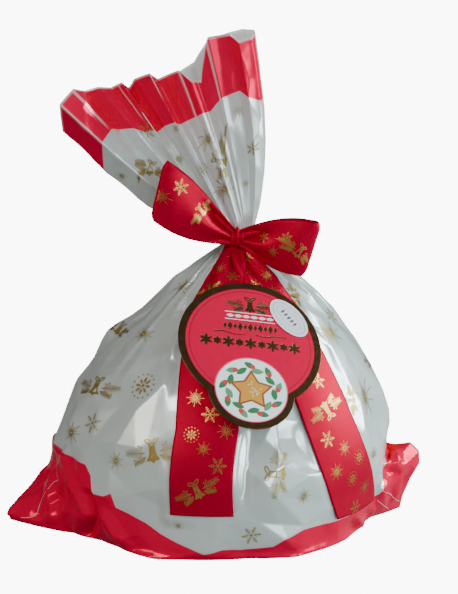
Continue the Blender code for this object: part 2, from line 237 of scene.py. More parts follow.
BODY_RADIUS, WIDEST_HEIGHT, BASE_RADIUS = 120, 47, 112
SHOULDER_TOP, SHOULDER_POWER = 190, 1.75
NECK_RADIUS, NECK_DEPTH_SHARE = 9.5, 0.88
BASE_X, NECK_X = -0.7, 11.3
FOOT_ROUNDING = 4
FOOT_REACH = 36  # height up to which the foot's uneven outline is felt

# The bag's outline on the floor: (degrees round from the front, radius).
FOOT = (
    (-180, 108), (-150, 111), (-118, 107), (-90, 113), (-62, 120), (-52, 118), (-45, 113), (-36, 115),
    (-28, 120), (-21, 123), (-12, 119), (0, 117), (10, 116), (25, 123), (34, 120), (47, 118),
    (56, 114), (65, 110), (76, 110), (95, 112), (122, 108), (150, 112), (180, 108),
)
# Ears: the way each points, half its spread, the height it runs up to, and its ridge as (radius, height).
LEFT_EAR = (-77, 21, 52, (
    (151, 0), (153, 4), (147, 11), (138, 19), (130, 26), (123, 33), (119.5, 41), (119.9, 52),
))
RIGHT_EAR = (86, 17, 58, (
    (131, 0), (133, 9), (138, 22), (145, 34), (144, 43), (137, 49), (129, 46), (123, 36), (120, 42),
    (119.5, 58),
))
# The fan's edge from its right corner along the front to its left corner: degrees from upright, reach
# from the neck, forward lean, sideways bow on the way up, and width of its red border.
FAN_FRONT = (
    (5.4, 140, 3, 9.5, 43), (4.3, 137, 13, 9, 42), (0.6, 134, 17, 7, 37), (-1.9, 139, 12, 5, 38),
    (-8.1, 138, 13, 2, 41), (-12.8, 110, 9, 2, 21), (-16.1, 112, 11, 1, 23), (-18.7, 121, 6, 0, 33),
    (-26.5, 121, -2, 0, 34), (-27.7, 127, 8, 0, 37), (-32.5, 129, 0, 0, 38), (-36.1, 126, -6, 0, 36),
    (-36.5, 132, 2, 0, 40), (-40.2, 134, -6, 0, 39), (-42.7, 140, -3, 0, 38), (-46.4, 145, -5, -1, 37),
    (-47.4, 151, 5, -2, 39), (-52.5, 151, 17, -3, 40), (-58.5, 140, -1, -10, 40),
)
FAN_REAR = (
    (-51.0, 147, -11, -6, 40), (-43.5, 135, -15, -2, 39), (-36.6, 127, -14, 0, 39),
    (-28.1, 120, -12, 0, 39), (-18.8, 120, -13, 0, 39), (-13.8, 123, -12, 2, 39),
    (-8.3, 136, -12, 3, 39), (1.6, 142, -12, 6, 40), (4.9, 142, -8, 9, 42),
)
FAN_STEPS = 16  # columns between two points of the fan's edge

keys = np.array(FAN_FRONT + FAN_REAR)
front_columns = (len(FAN_FRONT) - 1) * FAN_STEPS
rear_columns = (len(FAN_REAR) + 1) * FAN_STEPS
COLUMNS = front_columns + rear_columns
# Degrees round from the front, to the right as seen by someone facing the tag, one for each column.
column_turn = np.concatenate([
    90 - 180 * np.arange(front_columns) / front_columns,
    -90 - 180 * np.arange(rear_columns) / rear_columns,
])


def column_at(turn):
    """The column, counted in fractions, that lies this many degrees round from the front."""
    turn = (np.asarray(turn, float) + 270) % 360 - 270
    front = (90 - turn) / 180 * front_columns
    rear = front_columns + (-90 - turn) / 180 * rear_columns
    return np.where(turn > -90, front, rear)


def wrap(turn):
    """The same direction, given between -180 and 180 degrees."""
    return (turn + 180) % 360 - 180


def smooth_step(t):
    """0 below 0 and 1 above 1, and between them three times the square less twice the cube."""
    t = np.clip(t, 0, 1)
    return t * t * (3 - 2 * t)


def keyed(keys, at):
    """Values joined by straight lines between (place, value) keys in rising order of place."""
    places, values = zip(*keys)
    return np.interp(at, places, values)


def body_radius(height):
    """A curved side up to the widest height, and above it a shoulder that falls by a power law."""
    low = BODY_RADIUS - (BODY_RADIUS - BASE_RADIUS) * (1 - height / WIDEST_HEIGHT) ** 2
    share = np.clip((height - WIDEST_HEIGHT) / (SHOULDER_TOP - WIDEST_HEIGHT), 0, 1)
    high = NECK_RADIUS + (BODY_RADIUS - NECK_RADIUS) * (1 - share**SHOULDER_POWER)
    return np.where(height < WIDEST_HEIGHT, low, high)


def body_middle(height):
    """Where the body's axis stands, left to right: it drifts to the right on its way up."""
    share = (height - WIDEST_HEIGHT) / (0.72 * (SHOULDER_TOP - WIDEST_HEIGHT))
    return BASE_X + (NECK_X - BASE_X) * smooth_step(share)


def film_radius(turn, height):
    """The body's radius with the foot's uneven outline let in."""
    foot = keyed(FOOT, wrap(turn)) - BASE_RADIUS
    return body_radius(height) + foot * np.clip(1 - height / FOOT_REACH, 0, 1) ** 1.5


def body_surface(turn, height):
    """Points of the bag's body: a ring at each height, with its lower edge rounded by a quarter circle.
    Two ears are drawn out of it, each by a power of how near a point is to the ear's middle."""
    radius = film_radius(turn, height)
    low = np.clip(1 - height / FOOT_ROUNDING, 0, 1)
    radius = radius - FOOT_ROUNDING * (1 - np.sqrt(1 - low**2))
    flat = 1 - (1 - NECK_DEPTH_SHARE) * smooth_step((height / SHOULDER_TOP - 0.8) / 0.2)
    angle = np.radians(turn)
    x = body_middle(height) + radius * np.sin(angle)
    y = -radius * flat * np.cos(angle)
    z = height + 0 * x
    for toward, spread, top, ridge in (LEFT_EAR, RIGHT_EAR):
        part = np.clip(1 - np.abs(wrap(turn - toward)) / spread, 0, 1) ** 1.15 * (height < top)
        steps = np.linspace(0, top, len(ridge))
        reach = np.interp(height, steps, [r for r, _ in ridge])
        rise = np.interp(height, steps, [h for _, h in ridge])
        x = x + part * (BASE_X + reach * np.sin(angle) - x)
        y = y + part * (-reach * np.cos(angle) - y)
        z = z + part * (rise - z)
    return np.stack([x, y, z], axis=-1)


class Skin:
    """A surface as a grid of points (rows, columns), with its outward directions, to lay things on."""

    def __init__(self, points, closed, flip=False):
        self.points, self.closed, self.sign = points, closed, -1 if flip else 1
        self.update()

    def slopes(self):
        if self.closed:
            across = 0.5 * (np.roll(self.points, -1, axis=1) - np.roll(self.points, 1, axis=1))
        else:
            across = np.gradient(self.points, axis=1)
        return across, np.gradient(self.points, axis=0)

    def update(self):
        across, up = self.slopes()
        normal = np.cross(across, up) * self.sign
        self.normals = normal / np.maximum(np.linalg.norm(normal, axis=-1, keepdims=True), 1e-9)

    def push(self, distance):
        """Moves every point along its outward direction."""
        self.points = self.points + self.normals * distance[..., None]
        self.update()

    def read(self, grid, row, column):
        """A grid's values at fractional rows and columns, by straight lines between the four around."""
        rows, columns = grid.shape[:2]
        row = np.clip(row, 0, rows - 1.001)
        column = column % columns if self.closed else np.clip(column, 0, columns - 1.001)
        r, c = row.astype(int), column.astype(int)
        fr, fc = (row - r)[..., None], (column - c)[..., None]
        beside = (c + 1) % columns
        low = grid[r, c] * (1 - fc) + grid[r, beside] * fc
        high = grid[r + 1, c] * (1 - fc) + grid[r + 1, beside] * fc
        return low * (1 - fr) + high * fr

    def lay(self, row, column, flat, lift):
        """Points of a flat drawing (millimetres across and up) laid on the skin round one place."""
        near = np.arange(-3, 4)
        rows = np.clip(row + near, 0, len(self.points) - 1.001)
        across_line = self.read(self.points, np.full(7, float(row)), column + near)
        up_line = self.read(self.points, rows, np.full(7, float(column)))
        across = np.polyfit(near, across_line, 1)[0]
        up = np.polyfit(rows - row, up_line, 1)[0]
        right = across / np.linalg.norm(across) * (-1 if self.sign < 0 else 1)
        above = up - right * (up @ right)
        above /= np.linalg.norm(above)
        turn = np.array([[across @ right, up @ right], [across @ above, up @ above]])
        steps = flat @ np.linalg.inv(turn).T
        r, c = row + steps[:, 1], column + steps[:, 0]
        return self.read(self.points, r, c) + self.read(self.normals, r, c) * lift

    def nearest(self, x, z):
        """The place that someone in front sees at this x and z."""
        facing = self.normals[..., 1] < -0.1
        off = (self.points[..., 0] - x) ** 2 + (self.points[..., 2] - z) ** 2
        off = np.where(facing, off, 1e9)
        return np.unravel_index(off.argmin(), off.shape)


def piece(name, points, faces, finish, slot, node, smooth=True):
    """A part of the object made from points in millimetres, tied to the frame."""
    mesh = bpy.data.meshes.new(name)
    mesh.from_pydata((points * MM).tolist(), [], faces)
    if smooth:
        mesh.shade_smooth()
    made = bpy.data.objects.new(name, mesh)
    bpy.context.scene.collection.objects.link(made)
    mesh.materials.append(finish.material)
    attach(made, "root")
    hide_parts(node)
    return made


def quads(rows, columns, closed, flip=False):
    """The faces of a grid, all the way round where it is closed."""
    index = np.arange(rows * columns).reshape(rows, columns)
    if closed:
        index = np.concatenate([index, index[:, :1]], axis=1)
    corners = [index[:-1, :-1], index[:-1, 1:], index[1:, 1:], index[1:, :-1]]
    if flip:
        corners.reverse()
    return np.stack(corners, axis=-1).reshape(-1, 4).tolist()


def set_values(made, name, values):
    """Stores one number for each vertex, for the material to read."""
    layer = made.data.attributes.new(name, "FLOAT", "POINT")
    layer.data.foreach_set("value", np.asarray(values, np.float32).ravel())


SEED = 31
random = np.random.default_rng(SEED)


def zigzag(turns, count):
    """Pleats of uneven width and depth round the neck: straight runs between alternating knots."""
    knots = np.sort((np.arange(count) + random.uniform(-0.35, 0.35, count)) * 360 / count) - 180
    values = np.where(np.arange(count) % 2, 1, -1) * random.uniform(0.35, 1, count)
    return np.interp(wrap(turns), np.concatenate([knots - 360, knots, knots + 360]), np.tile(values, 3))


# Creases of the film as lines of (degrees round, height), each with how far it stands out. Between them
# the film is pulled flat, so the surface is a cage of flat facets with the creases among its edges.
CREASES = (
    (5.2, (84, 87), (86, 64)), (-2.0, (70, 78), (74, 52)), (3.2, (-84, 105), (-64, 111), (-46, 121)),
    (2.6, (-48, 99), (-39, 81), (-25, 76)), (3.2, (-61, 90), (-49, 59), (-43, 36)),
    (3.2, (-40, 148), (-30, 124), (-28, 109)), (7.0, (-90, 128), (-89, 117)),
    (2.2, (-87, 106), (-84, 92)), (5.0, (90, 154), (89, 143)), (2.6, (1, 30), (-3, 10)),
    (3.8, (17, 92), (19, 66), (14, 45)), (-4.2, (9, 66), (8, 48)), (2.4, (22, 60), (36, 49)),
    (3.2, (52, 130), (67, 111), (58, 87), (57, 71), (64, 44)), (3.8, (79, 66), (67, 38)),
    (2.4, (60, 152), (82, 132), (75, 118)), (3.0, (-39, 168), (-55, 137)),
    (-2.6, (-33, 158), (-36, 132)), (2.0, (-48, 99), (-28, 109), (-25, 76)),
    (2.4, (-64, 71), (-49, 59)), (-2.8, (-14, 32), (-26, 14)), (2.6, (48, 25), (56, 8)),
    (2.6, (-52, 48), (-60, 14)), (3.0, (-46, 30), (-38, 9)), (-3.0, (-60, 54), (-72, 34)),
    (2.2, (30, 40), (22, 12)), (2.6, (66, 28), (74, 10)), (-2.6, (42, 84), (36, 58)),
)
# Folds of the ears and of the loose film at the foot: height, half width, and the line.
EAR_FOLDS = (
    (3.6, 9, (-62, 52), (-52, 33), (-48, 22), (-54, 7)), (-3.0, 6, (-46, 34), (-43, 20), (-49, 6)),
    (2.6, 7, (-71, 36), (-63, 12)), (-2.4, 6, (-60, 30), (-68, 12)), (2.8, 8, (-39, 22), (-32, 4)),
    (2.4, 6, (-84, 30), (-78, 10)), (2.4, 6, (-66, 44), (-60, 30)), (-2.4, 7, (-74, 44), (-78, 26)),
    (2.8, 7, (66, 30), (74, 8)), (-2.8, 6, (72, 34), (82, 14)), (2.6, 6, (84, 47), (77, 30), (80, 12)),
    (2.4, 6, (52, 14), (60, 3)), (-2.0, 5, (58, 18), (66, 6)), (-2.0, 6, (78, 48), (71, 38), (64, 22)),
)
# Sharp folds with a painted highlight along them: how pale, half width, and the line.
GLINT_FOLDS = (
    (0.6, 1.5, (-25, 117), (-24, 100), (-24, 83)),
    (0.35, 1.5, (-78, 110), (-62, 117), (-47, 120), (-42, 116)),
    (0.35, 1.5, (-70, 106), (-54, 112), (-42, 116)),
    (0.6, 1.5, (64, 116), (66, 110), (58, 92), (56, 71)), (0.6, 1.5, (82, 64), (70, 52), (66, 38)),
    (0.4, 1.5, (38, 20), (44, 32), (48, 40)), (0.7, 1.5, (-33, 121), (-36, 134)),
    (0.4, 1.5, (6, 84), (10, 62), (10, 42)),
)
FACET, SMALL_FACET = 24, 13  # least distances between the corners of facets
FACET_STAND, FACET_SPREAD, SMALL_SPREAD = 0.9, 1.9, 1.2  # how far the corners stand out, and unevenly
FACET_SHARE, SMALL_SHARE = 0.92, 0.65  # how much of the facets the film takes on
PLANE = 100  # millimetres to the radian, where the tube is rolled out flat
RIM_STEP = 31.4  # between the corners along the rolled-out tube's two rims
FOLD_STRETCH = 1.15  # the tube is this much wider at the ears' folds


def ear_fold(turn, travel, height, width, *line):
    """The lift of one fold: a tent along a line, highest on it and gone at its half width."""
    nearest = np.full(turn.shape, 1e9)
    wide = PLANE * FOLD_STRETCH
    places = [(math.radians(t) * wide, np.interp(h, row_height, row_travel)) for t, h in line]
    x, y = np.radians(wrap(turn)) * wide, travel
    for (x_0, y_0), (x_1, y_1) in zip(places, places[1:]):
        run_x, run_y = x_1 - x_0, y_1 - y_0
        share = np.clip(((x - x_0) * run_x + (y - y_0) * run_y) / (run_x**2 + run_y**2), 0, 1)
        nearest = np.minimum(nearest, np.hypot(x - x_0 - share * run_x, y - y_0 - share * run_y))
    return height * np.clip(1 - nearest / width, 0, 1)


def corners(spacing, fixed):
    """Scattered places on the rolled-out tube, none nearer than the spacing to another or a fixed one."""
    kept = [np.array(spot) for spot in fixed]
    for _ in range(9000):
        spot = np.array([random.uniform(-1.5, 0.5) * math.pi * PLANE, random.uniform(0, row_travel[-1])])
        off = np.array(kept) - spot if kept else np.full((1, 2), 1e9)
        off[:, 0] = (off[:, 0] + math.pi * PLANE) % (2 * math.pi * PLANE) - math.pi * PLANE
        if (np.hypot(off[:, 0], off[:, 1]) > spacing).all():
            kept.append(spot)
    return kept[len(fixed):]


def facets(skin, places, edges, stand):
    """The skin made of flat facets: corners at the given places, standing out from it by the given
    distances, joined into triangles that keep the given edges. A point inside a triangle is the mean
    of its corners, weighted by how near it is to each."""
    turn = 2 * math.pi * PLANE
    flat, out, lines = [], [], []
    for shift in (-turn, 0, turn):
        base = len(flat)
        flat += [Vector((u + shift, v)) for u, v in places]
        out += list(stand)
        lines += [(base + a, base + b) for a, b in edges]
    spots, _, triangles, sources, _, _ = delaunay_2d_cdt(flat, lines, [], 0, 1e-4)
    spots = np.array(spots)
    lift = np.array([out[source[0]] if source else 0.0 for source in sources])
    row = np.interp(spots[:, 1], row_travel, np.arange(len(row_travel)))
    column = column_at(np.degrees(spots[:, 0] / PLANE))
    solid = skin.read(skin.points, row, column) + skin.read(skin.normals, row, column) * lift[:, None]
    across = -np.radians(column_turn) * PLANE
    result = skin.points.copy()
    for triangle in triangles:
        triangle = list(triangle)
        u, v = -spots[triangle, 0], spots[triangle, 1]
        first, last = np.searchsorted(across, (u.min(), u.max()))
        below, above = np.searchsorted(row_travel, (v.min(), v.max()))
        if first == last or below == above:
            continue
        du, dv = across[None, first:last] - u[0], row_travel[below:above, None] - v[0]
        area = (u[1] - u[0]) * (v[2] - v[0]) - (u[2] - u[0]) * (v[1] - v[0])
        second = (du * (v[2] - v[0]) - dv * (u[2] - u[0])) / area
        third = (dv * (u[1] - u[0]) - du * (v[1] - v[0])) / area
        shares = np.stack([1 - second - third, second, third], axis=-1)
        held = (shares >= -1e-5).all(axis=-1)
        result[below:above, first:last][held] = (shares @ solid[triangle])[held]
    return result


ROW_SPLIT = 56  # below this height, where the ears are, the rows lie a little closer
row_height = np.concatenate([
    np.linspace(0, ROW_SPLIT, 62),
    np.linspace(ROW_SPLIT, SHOULDER_TOP, 122)[1:],
    [193, 196, 198],
])
base_profile = np.stack([body_radius(row_height), row_height], axis=1)
row_travel = np.concatenate([[0], np.cumsum(np.linalg.norm(np.diff(base_profile, axis=0), axis=1))])
turn_grid, height_grid = np.meshgrid(column_turn, row_height)
travel_grid = np.broadcast_to(row_travel[:, None], turn_grid.shape)
body = Skin(body_surface(turn_grid, height_grid), closed=True, flip=True)

# How strongly the film may move: not at the tie, and little on the ears and by the floor.
loose = smooth_step((SHOULDER_TOP + 4 - height_grid) / 30) * smooth_step(height_grid / 7)
for toward, spread, top, _ in (LEFT_EAR, RIGHT_EAR):
    in_ear = np.clip(1 - np.abs(wrap(turn_grid - toward)) / spread, 0, 1) * (height_grid < top)
    loose = loose * (1 - 0.9 * smooth_step(in_ear * 3))
places, edges, stand = [], [], []
for depth, *line in CREASES:
    for number, (turn, height) in enumerate(line):
        spot = math.radians(turn) * PLANE, np.interp(height, row_height, row_travel)
        if spot not in places:
            places.append(spot)
            stand.append(depth)
        if number:
            edges.append((places.index(before), places.index(spot)))
        before = spot
for toward, _, top, _ in (LEFT_EAR, RIGHT_EAR):
    for height in np.linspace(0, top, 8):
        places.append((math.radians(toward) * PLANE, np.interp(height, row_height, row_travel)))
        stand.append(0.0)
        if height:
            edges.append((len(places) - 2, len(places) - 1))
scattered = corners(FACET, places)
left_end = -1.5 * math.pi * PLANE
scattered += [(left_end + k * RIM_STEP, v) for k in range(20) for v in (0, row_travel[-1])]
stand += list(FACET_STAND + random.normal(0, FACET_SPREAD, len(scattered)))
flat_film = facets(body, places + scattered, edges, stand)
body.points = body.points + (loose * FACET_SHARE)[..., None] * (flat_film - body.points)
body.update()
small = corners(SMALL_FACET, [])
small_film = facets(body, small, [], random.normal(0, SMALL_SPREAD, len(small)))
body.points = body.points + (loose * SMALL_SHARE)[..., None] * (small_film - body.points)
body.update()

# The gathers below the tie: fine pleats, and wide ones that wander a little on their way down.
FINE_PLEATS, FINE_DEPTH = 44, 2.2
WIDE_PLEATS, WIDE_DEPTH, WANDER = 17, 1.5, 8
by_neck = 0.3 + 0.7 * smooth_step((height_grid - 130) / 40)
fine = smooth_step((height_grid - 88) / 50) * smooth_step((192 - height_grid) / 24)
relief = FINE_DEPTH * by_neck * fine * zigzag(turn_grid, FINE_PLEATS)
wide = smooth_step((height_grid - 60) / 50) * smooth_step((186 - height_grid) / 40)
wandering = turn_grid + WANDER * np.sin(height_grid / 31)
relief += WIDE_DEPTH * by_neck * wide * zigzag(wandering, WIDE_PLEATS)
for height, width, *line in EAR_FOLDS:
    relief += ear_fold(turn_grid, travel_grid, height, width, *line) * smooth_step(height_grid / 5)


# ---------------------------------------------------------------- ribbon: where its tails lie
# The tails hang from the knot and lie on the bag's shoulder. Their run is settled before the film is
# pressed down under them.

RIBBON_WIDTH = 41
RIBBON_GAP = 1.2
# Tails: the height each ends at, how much further it stands off, and its middle as (height, degrees).
LEFT_TAIL = (32, 0.0, (
    (32, -5.4), (86, -6.2), (105, -8.3), (122, -10.5), (158, -15), (170, -15), (192, -6),
))
RIGHT_TAIL = (20, 0.2, (
    (20, 52), (51, 45.5), (70, 41.7), (86, 38.8), (101, 36.7), (127, 31.5), (155, 26), (172, 24), (192, 6),
))
RIGHT_TAIL_WIDENING = 0.2  # its lower end is held nearly square to someone in front
TAIL_SHARES = ((20, 1), (150, 1), (158, 0.9), (168, 0.72), (179, 0.58), (192, 0.3))
TAIL_TOP = 192
PRESSED_STAND = (-0.1, 0.6)  # how far the film may stand in and out under a tail


def tail_half_turn(tail, height, radius):
    """Half the angle that a tail covers, seen from the body's axis."""
    half = 0.5 * RIBBON_WIDTH * keyed(TAIL_SHARES, height) / radius
    if tail is RIGHT_TAIL:
        half = half * (1 + RIGHT_TAIL_WIDENING * smooth_step((110 - height) / 80))
    return np.degrees(half)


pressed = np.zeros_like(relief)
for tail in (LEFT_TAIL, RIGHT_TAIL):
    end, _, turns = tail
    half = tail_half_turn(tail, height_grid, body_radius(height_grid))
    off = np.abs(turn_grid - keyed(turns, height_grid)) - half
    pressed = np.maximum(pressed, smooth_step(1 - off / 5) * smooth_step((height_grid - end + 12) / 10))
body.push(relief)
smooth_body = Skin(body_surface(turn_grid, height_grid), closed=True, flip=True)
stands = ((body.points - smooth_body.points) * smooth_body.normals).sum(axis=-1)
too_far = (stands - np.clip(stands, *PRESSED_STAND)) * pressed
body.points = body.points - smooth_body.normals * too_far[..., None]
body.points[..., 2] = np.maximum(body.points[..., 2], 0.0)
body.update()


# ---------------------------------------------------------------- film: the bag's body
# Pearl-white film with a red print at both ends, thin enough to crease sharply and glossy all over.
# It is drawn tight round the cake by the tie, and the cake's weight holds its flat foot down.

FLOOR_RINGS = (0.05, 0.3, 0.6, 0.85)  # rings of the flat foot, as shares of its outline
# The top of the red print round the body: (degrees round from the front, height).
RED_TOP = (
    (-180, 18), (-160, 22), (-135, 34), (-110, 46), (-90, 52), (-74, 54), (-65, 55), (-54, 55),
    (-48, 54), (-45, 48), (-43.5, 37), (-39, 37), (-36, 40), (-34.5, 31), (-30, 28), (-24, 23),
    (-19, 17), (-13, 12), (-5, 7), (1, 8.5), (7, 7), (17, 9), (20, 14), (27, 18), (39, 18), (54, 19),
    (62, 20), (67, 22), (70, 32), (76, 44), (80, 55), (86, 59), (94, 56), (105, 44), (125, 30),
    (150, 20), (180, 18),
)
WHITE, RED = (0.67, 0.70, 0.66), (0.80, 0.0004, 0.048)
# The pale of the cut rim, and of the painted highlights along sharp folds.
TINGE, EDGE_AND_GLINT_PALE = (0.72, 0.52, 0.53), (0.85, 0.80, 0.78)
TINGE_WIDTH = 2.2  # how far the red print's edge shows pink through the film


def darker(colour, share):
    """A colour at this share of its brightness."""
    return tuple(share * c for c in colour)


def film_finish(name):
    """Film that is red where its edge lies further off than 0, pink beside that edge, and pale at its
    cut rim, and paler along sharp folds as a painted highlight."""
    film = Finish(name, Coat_Roughness=0.05, Specular_IOR_Level=0.08)
    where = film.place()
    red = film.attribute("red").above(0.0, 0.25)
    cloud = film.noise(where, 22, 3)
    pearl = film.mix(cloud, WHITE, darker(WHITE, 0.88))
    pearl = film.mix(film.attribute("tinge"), pearl, TINGE)
    ink = film.mix(cloud, RED, darker(RED, 0.86))
    cut_edge_and_painted_glint = film.attribute("cut_edge_and_painted_glint")
    film.set(
        Base_Color=film.mix(cut_edge_and_painted_glint, film.mix(red, pearl, ink), EDGE_AND_GLINT_PALE),
        Coat_Weight=0.50 - red * 0.48,
        Metallic=0.36 - red * 0.12,
        Roughness=0.17 + film.noise(where, 60, 2) * 0.08 - red * 0.05,
    )
    sharp = film.crinkle(where, 14, (1, 1, 0.5)) + film.crinkle(where, 36, (1, 1, 0.6)) * (1 - red) * 0.4
    film.set(Normal=film.bump(sharp, 0.0008, 0.65))
    return film


outside = film_finish("pearl film")
floor_rings = [body.points[:1] * (s, s, 0) for s in FLOOR_RINGS]
neck_cap = body.points[-1:] * (0.5, 0.5, 1) + np.array([0.5 * NECK_X, 0, 0])
body_rows = np.concatenate([*floor_rings, body.points, neck_cap])
faces = quads(len(body_rows), COLUMNS, closed=True, flip=True)
points = np.vstack([body_rows.reshape(-1, 3), (0, 0, 0), (NECK_X, 0, row_height[-1])])
foot_tip, neck_tip = len(points) - 2, len(points) - 1
last = foot_tip - COLUMNS
faces += [(foot_tip, c, (c + 1) % COLUMNS) for c in range(COLUMNS)]
faces += [(neck_tip, last + (c + 1) % COLUMNS, last + c) for c in range(COLUMNS)]
bag_body = piece("bag_body", points, faces, outside, "film", "bag")


def set_body_values(name, values, below, above):
    """Stores a number for each point of the body, with one for its floor and one for its neck's end."""
    floor = np.full((len(FLOOR_RINGS), COLUMNS), float(below))
    cap = np.full((1, COLUMNS), float(above))
    set_values(bag_body, name, np.append(np.concatenate([floor, values, cap]).ravel(), (below, above)))


past_red = keyed(RED_TOP, wrap(turn_grid)) - height_grid
set_body_values("red", past_red, 30, -30)
set_body_values("tinge", 0.75 * np.clip(1 + past_red / TINGE_WIDTH, 0, 1), 0, 0)
# Painted highlights: pale lines along the sharpest folds of the body.
pale = np.max([ear_fold(turn_grid, travel_grid, *fold) for fold in GLINT_FOLDS], axis=0)
set_body_values("cut_edge_and_painted_glint", pale, 0, 0)


# ---------------------------------------------------------------- film: the fan
# The loose end of the bag above the tie: two layers of film, gathered at the neck and open at the
# top, creased into pleats with painted highlights along their sharpest lines. Its inside isn't printed.

# Painted highlights along the sharpest pleats: number of the front's key, and length down from the edge.
GLINTS = ((17, 62), (16.1, 40), (12.4, 34), (9, 22), (7, 46), (4.1, 90), (0.2, 50))
FAN_ROOT, FAN_ROWS = 196, 66
FILM_THICKNESS = 0.12
DISHES, DISH_DEPTH = 150, 0.8


def dishes(points, count, stretch):
    """Shallow dishes between sharp ridges, as in crumpled film: the squared distance to the nearest of
    some scattered points, 0 in a dish's middle and about 1 on its ridges."""
    random.random(count * 18)  # passed over, because every later draw depends on it
    flat = points.reshape(-1, 3) * stretch
    middles = flat[random.integers(0, len(flat), count)] + random.normal(0, 4, (count, 3))
    nearest = np.full(len(flat), 1e9)
    for middle in middles:
        nearest = np.minimum(nearest, ((flat - middle) ** 2).sum(axis=1))
    return (nearest / np.percentile(nearest, 95)).reshape(points.shape[:-1])


# Every column runs nearly straight from the gathered neck to its place on the edge.
place = np.arange(COLUMNS) / FAN_STEPS
around = np.vstack([keys, keys[:1]]).T
lean, reach, forward, bow, border = (np.interp(place, np.arange(len(keys) + 1), key) for key in around)
lean = np.radians(lean)
rim = np.stack([NECK_X + reach * np.sin(lean), -forward, FAN_ROOT + reach * np.cos(lean)], axis=1)
aside = np.stack([np.cos(lean), 0 * lean, -np.sin(lean)], axis=1) * bow[:, None]
neck = body_surface(column_turn[None], np.array([[float(FAN_ROOT)]]))[0]
neck[:, 2] = FAN_ROOT - 2
share = np.linspace(0, 1, FAN_ROWS)[:, None]
fan = neck + (rim - neck) * share[..., None] + aside * np.sin(np.pi * share[..., None] ** 0.8)
# Three finer pleats between two points of the edge, weaker near the fan's right corner.
fine_count = 3 * len(keys)
fine = np.interp(place, np.arange(fine_count + 1) / 3, np.append(random.uniform(-1, 1, fine_count), 0))
strength = 0.3 + 0.6 * smooth_step((place - 3) / 2)
fan[..., 1] += strength * fine * share**0.8 * smooth_step((1.04 - share) * 9)
fan = Skin(fan, closed=True, flip=True)
dents = dishes(fan.points, DISHES, (1, 0.6, 0.5)) - 0.5
fan.push(DISH_DEPTH * dents * smooth_step(share * 3))

inside = Finish("plain inner film", Base_Color=(0.80, 0.80, 0.78), Roughness=0.3, Coat_Weight=0.3)
inside.set(Normal=inside.bump(inside.noise(inside.place(), 60), 0.001, 0.4))
bag_fan = piece("bag_fan", fan.points.reshape(-1, 3), quads(FAN_ROWS, COLUMNS, closed=True, flip=True),
                outside, "film", "bag")
bag_fan.data.materials.append(inside.material)
to_rim = reach * (1 - share)
below_red = to_rim - border
set_values(bag_fan, "red", -below_red)
# The rear layer's red shows faintly through the middle of the front.
centre = np.clip(1 - ((np.degrees(lean) + 14) / 30) ** 2, 0, 1) * (place < len(FAN_FRONT) - 1)
shown_through = 0.55 * centre * smooth_step(1 - below_red / 34)
set_values(bag_fan, "tinge", np.maximum(0.7 * np.clip(1 - below_red / TINGE_WIDTH, 0, 1), shown_through))
# Paler at the cut rim, where the unprinted inside shows, and along some pleats as painted highlights.
painted_glint_line = 0 * to_rim
for key, length in GLINTS:
    near = np.clip(1 - np.abs(place - key) * FAN_STEPS / 1.4, 0, 1)
    painted_glint_line = np.maximum(painted_glint_line, near * smooth_step((length - to_rim) / 12))
set_values(bag_fan, "cut_edge_and_painted_glint", np.maximum(smooth_step((0.9 - to_rim) / 0.5) * 0.8, 0.65 * painted_glint_line))
wall = bag_fan.modifiers.new("Wall", "SOLIDIFY")
wall.thickness = FILM_THICKNESS * MM
wall.offset = -1
wall.material_offset = 1
wall.material_offset_rim = 1


# ---------------------------------------------------------------- film: the weld
# The heat weld that closes the bag's flat bottom: a thin pale line in the film, which shows only where
# it runs across the two ears.

# Its lines on the ears, one on the left and two on the right: (x, z) seen from the front.
WELD = (
    ((-112, 40), (-110, 35), (-115, 31), (-121, 24), (-126, 10), (-128, 7), (-140, 4)),
    ((107.6, 32), (112, 25), (120, 16), (128, 5)),
    ((108.4, 18), (114, 10.6), (119.4, 3)),
)
WELD_STEPS = 61
WELD_HALF_WIDTH, WELD_LIFT = 0.2, 0.3


def gather(shapes):
    """Several shapes, each as (points, faces), as one."""
    points, faces, count = [], [], 0
    for some, these in shapes:
        points.append(some)
        faces += [tuple(count + k for k in face) for face in these]
        count += len(some)
    return np.vstack(points), faces


def weld_band(line):
    """A narrow band on the body along a line of (x, z): each point is the mean of nine neighbours."""
    steps = np.linspace(0, len(line) - 1, WELD_STEPS)
    across, up = (np.interp(steps, range(len(line)), axis) for axis in zip(*line))
    spots = tuple(np.array([body.nearest(x, z) for x, z in zip(across, up)]).T)
    out = body.normals[spots]
    padded = np.pad(body.points[spots], ((4, 4), (0, 0)), mode="edge")
    middle = np.stack([np.convolve(axis, np.ones(9) / 9, "valid") for axis in padded.T], axis=1)
    side = np.cross(out, np.gradient(middle, axis=0))
    side *= WELD_HALF_WIDTH / np.maximum(np.linalg.norm(side, axis=1, keepdims=True), 1e-9)
    middle = middle + out * WELD_LIFT
    both = np.stack([middle + side, middle - side], axis=1)
    return both.reshape(-1, 3), quads(WELD_STEPS, 2, closed=False)


weld = Finish("weld line", Roughness=0.35)
weld.set(Base_Color=weld.mix(weld.noise(weld.place(), 300), (0.80, 0.46, 0.48), (0.70, 0.34, 0.36)))
piece("bag_weld_line", *gather([weld_band(line) for line in WELD]), weld, "film", "bag")


# ---------------------------------------------------------------- ribbon: the tails
# One strip of red satin, forty millimetres wide, tied round the neck in a bow. It is woven with its
# gloss on the outside and has a fine selvedge along both edges. Its two ends hang down over the cake.

SATIN = (0.47, 0.0010, 0.026)
SATIN_THICKNESS = 0.35


